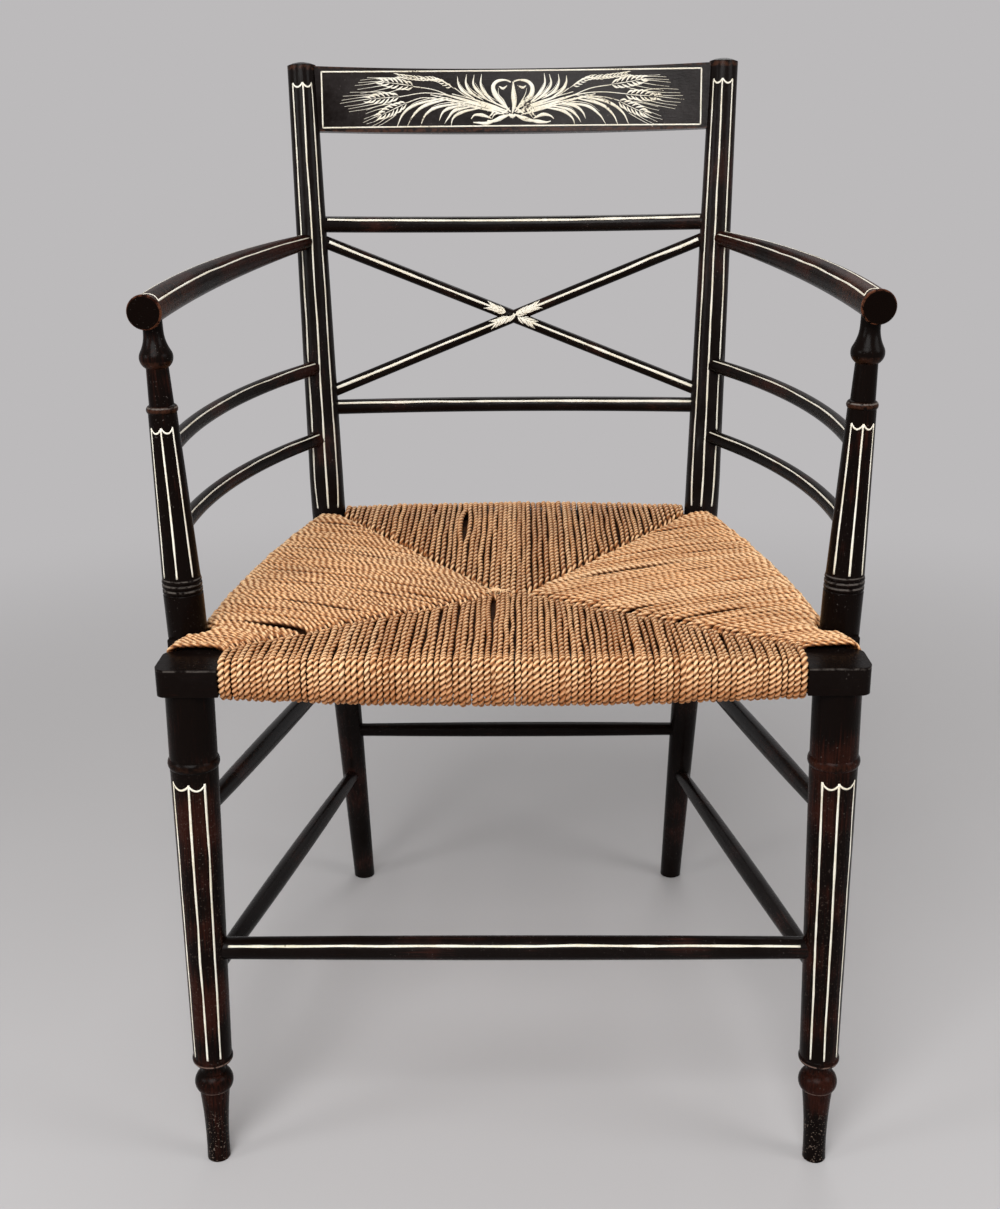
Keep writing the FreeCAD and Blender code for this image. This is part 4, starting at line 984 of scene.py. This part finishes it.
rushTint = {
    "straw": (0.96, 0.478, 0.195),
    # Pale gold of the lighter fibres, also the painted highlight on the crests of the plies
    "goldAndHighlight": (1.0, 0.70, 0.41),
    "brown": (0.36, 0.120, 0.031),
    # painted shade, red-brown, part way into the creases
    "creaseShadeRed": (0.31, 0.105, 0.027),
    # painted shade, near black, deepest in the creases
    "creaseShade": (0.055, 0.0150, 0.0036),
    # painted shade, from the lower roll down to the underside
    "low": (0.40, 0.142, 0.046),
    "weathered": (0.40, 0.235, 0.125),
}
rushGrain = {
    "stretch": (1, 1, 0.06),
    "strand": (2600.0, 3, 0.6), "patch": (24.0, 3, 0.55), "fleck": (420.0, 2, 0.5), "stain": (11.0, 3, 0.6),
    # Heights between which the painted shade at the bottom of the roll comes in, then bump depth and gloss
    "lowShadeFrom": (0.431, 0.411), "bumpDepth": 0.0003, "gloss": 0.20,
}


def rushFinish():
    rush = Finish("rushCord")
    place = rush.place()
    tone, creaseShade = (rush.make("ShaderNodeAttribute", {"attribute_name": label}, out="Fac")
                    for label in ("tone", "creaseShade"))
    fibre = rush.make("ShaderNodeAttribute", {"attribute_name": "fibre"}, out="Vector")
    drawn = rush.vector("MULTIPLY", fibre, rushGrain["stretch"])
    strand = rush.noise(drawn, *rushGrain["strand"])
    patch, fleck, stain = (rush.noise(place, *rushGrain[key]) for key in ("patch", "fleck", "stain"))
    height = rush.along(place, (0, 0, 1))
    # Straw to brown by tone, which holds the painted highlight on the roll and the painted shade of the front and
    # back panels
    pale = rush.smooth(tone + strand * 0.5 + patch * 0.6, 0.62, 1.35)
    colour = rush.blend(pale, rushTint["brown"], rushTint["straw"])
    # Each layer: where it lies and its tint
    for share, tint in (
            (rush.smooth(strand * 0.7 + fleck * 0.5 + tone * 0.3, 0.68, 0.92), "goldAndHighlight"),
            (rush.smooth(fleck + strand * 0.4, 0.64, 0.86) * 0.55, "brown"),
            (rush.smooth(stain, 0.50, 0.68) * 0.42, "weathered"),
            # painted highlight on the crests of the plies
            (rush.smooth(creaseShade, 0.26, 0.0) * (0.32 + strand * 0.8), "goldAndHighlight"),
            # painted shade, darker from the lower roll down to the underside
            (rush.smooth(height, *rushGrain["lowShadeFrom"]) * 0.72, "low"),
            # painted shade in the creases, red-brown and then near black
            (rush.smooth(creaseShade, 0.12, 0.56) * 0.82, "creaseShadeRed"),
            (rush.smooth(creaseShade, 0.46, 0.90) * 0.95, "creaseShade")):
        colour = rush.blend(share, colour, rushTint[tint])
    return rush.surface(colour, 0.34 + strand * 0.2, strand * 0.7 + fleck * 0.3,
                        rushGrain["bumpDepth"], rushGrain["gloss"])


# Where the cords have parted: panel, number of the cord, width, and how far in the gap starts and ends
partings = (
    ("left", 12, 0.0100, 0.030, 0.100),
    ("left", 24, 0.0046, 0.010, 0.130),
    ("left", 36, 0.0060, 0.140, 0.200),
    ("left", 52, 0.0042, 0.040, 0.150),
    ("right", 19, 0.0078, 0.045, 0.130),
    ("right", 27, 0.0050, 0.120, 0.170),
    ("right", 46, 0.0056, 0.060, 0.220),
    ("right", 60, 0.0040, 0.020, 0.090),
    ("back_left", 24, 0.0050, 0.030, 0.140),
    ("back_right", 14, 0.0020, 0.060, 0.150),
    ("front_left", 43, 0.0034, 0.100, 0.190),
    ("front_right", 33, 0.0018, 0.030, 0.110),
)


def parting(panel, index, way):
    near = [(number, width, start, end) for name, number, width, start, end in partings
            if name == panel and abs(index + 0.5 - number) < 9]
    if not near:
        return None

    def push(inward):
        total = np.zeros(len(inward))
        for number, width, start, end in near:
            off = index + 0.5 - number
            share = np.clip((inward - start) / (end - start), 0, 1)
            spread = way * np.sign(off) * width / 2 * math.exp(-(abs(off) - 0.5) / 2.5)
            total += spread * np.sin(math.pi * share)
        return total

    return push


# The frayed end beside the middle of the seat
frayedEnd = {
    "spot": (-0.0120, -0.0765, 0.4352),
    "count": 16, "headings": (165, 330), "run": (0.006, 0.014), "rings": 7,
    "rise": 0.0024, "thick": 0.0011, "scatter": 0.0012,
}


def windSeat(cord):
    material = rushFinish()
    windings = {}

    def winding(name):
        return windings.setdefault(name, Winding("rush_" + name))

    apexX, apexY = cord["bridgeHalf"], cord["apexY"]
    panels = cord["panels"]
    frontN, frontHalf, frontY = panels["front"][:3]
    backN, backHalf, backY = panels["back"][:3]
    for word, side in (("left", -1), ("right", 1)):
        for panel, (count, half, cornerY, edgeY, way, hang, crown, thick) in panels.items():
            name = f"{panel}_{word}"
            for index in range(count):
                share = (index + 0.5) / count
                x = between(half, apexX, share)
                bulge = 1 - (x / half) ** 2
                winding(name).wind((x * side, edgeY), (x * side, between(cornerY, apexY, share)), (0, way),
                                   abs(apexY - edgeY), thick, hang * bulge, crown * bulge,
                                   push=parting(name, index, side * way))
        # Side panels, with finer cords that bulge out at the front corner
        lobes = np.arange(-0.25, cord["lobeCount"] - 0.5, 0.5)
        for index in [*lobes, *range(cord["lobeCount"], frontN + backN)]:
            y = between(frontY, backY, (index + 0.5) / (frontN + backN))
            edgeX = float(railEdge(y)) + cord["lobeReach"] * max(1 - index / cord["lobeCount"], 0) ** 0.7
            rise = cord["lobeRise"] * math.sin(math.pi * min((index + 1) / (cord["lobeCount"] + 2), 1))
            off = abs(y - cord["supportSpot"][1])
            if off < cord["supportClear"]:
                edgeX = min(edgeX, cord["supportSpot"][0] - math.sqrt(cord["supportClear"] ** 2 - off * off))
            if index < frontN:
                name = word + "_front"
                share = (index + 0.5) / frontN
                seam = between(frontHalf, apexX, share), between(frontY, apexY, share)
            else:
                name = word + "_back"
                share = (index - frontN + 0.5) / backN
                seam = between(apexX, backHalf, share), between(apexY, backY, share)
            leanX, leanY = cord["sideLean"]
            thick = cord["lobeThick" if index < cord["lobeCount"] - 0.5 else "sideThick"]
            winding(name).wind((edgeX * side, y), (seam[0] * side, seam[1]), (-side * leanX, -leanY),
                               edgeX - apexX, thick, crown=rise, push=parting(word, index, -side), kind="side")
    # The bridge between the two apexes, where the front cords lap the back ones
    for x in np.linspace(-1, 1, cord["bridgeCount"]) * apexX * cord["bridgeSpread"]:
        word = "left" if x < 0 else "right"
        for panel, (_, _, _, edgeY, way, hang, crown, thick) in panels.items():
            winding(f"{panel}_{word}").wind((x, edgeY), (x, apexY + way * cord["lap"]), (0, way),
                                            abs(apexY - edgeY), thick, hang, crown, dives=panel == "back")
    winding("left_front").fray(frayedEnd)
    for made in windings.values():
        made.weave(material)


windSeat(rushCord)
print("rush wound")

# The stuffing between the two layers of cord, dark and uneven: its near-black colour is painted shade where it
# shows between the cords
stuffing = {
    "low": 0.4165, "high": 0.4305, "steps": 36,
    "ends": (-0.247, 0.180), "halves": (0.205, 0.160),
    "dish": 0.006, "uneven": 0.0006,
    # Both colours are far darker than straw: painted shade inside the seat
    "colour": (0.035, 0.0125, 0.0048),
    "pale": (0.10, 0.038, 0.013),
    "straw": (160.0, 3, 0.6), "bumpDepth": 0.0006, "gloss": 0.2,
}


def stuffSeat(plan):
    steps = plan["steps"]
    width = steps + 1
    layer = width * width
    points, faces = [], []
    share = np.arange(width) / steps
    inside = np.minimum(share, 1 - share) * 2
    reach = np.minimum.outer(inside, inside)
    x = np.outer(between(*plan["halves"], share), 2 * share - 1)
    y = np.repeat(between(*plan["ends"], share), width).reshape(x.shape)
    for level, way in ((plan["high"], 1), (plan["low"], -1)):
        dip = -plan["dish"] * reach + dice.normal(size=x.shape) * plan["uneven"]
        points += np.stack([x, y, level + way * dip], 2).reshape(-1, 3).tolist()
    grid = np.arange(layer).reshape(width, width)
    for spot in grid[:-1, :-1].ravel().tolist():
        faces.append((spot, spot + 1, spot + width + 1, spot + width))
        spot += layer
        faces.append((spot, spot + width, spot + width + 1, spot + 1))
    rim = np.concatenate([grid[0, :-1], grid[:-1, -1], grid[-1, :0:-1], grid[:0:-1, 0]]).tolist()
    for here, there in zip(rim, rim[1:] + rim[:1]):
        faces.append((here, here + layer, there + layer, there))
    straw = Finish("rushStuffingShaded")
    mix = straw.noise(straw.place(), *plan["straw"])
    colour = straw.blend(straw.smooth(mix, 0.4, 0.7), plan["colour"], plan["pale"])
    material = straw.surface(colour, 0.75 + mix * 0.1, mix, plan["bumpDepth"], plan["gloss"])
    mesh = bpy.data.meshes.new("rush_stuffing_shaded")
    mesh.from_pydata(points, [], faces)
    piece = newPiece("rush_stuffing_shaded", mesh, material)
    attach(piece, "root")
    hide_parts("rush_seat")


stuffSeat(stuffing)
print("seat stuffed")
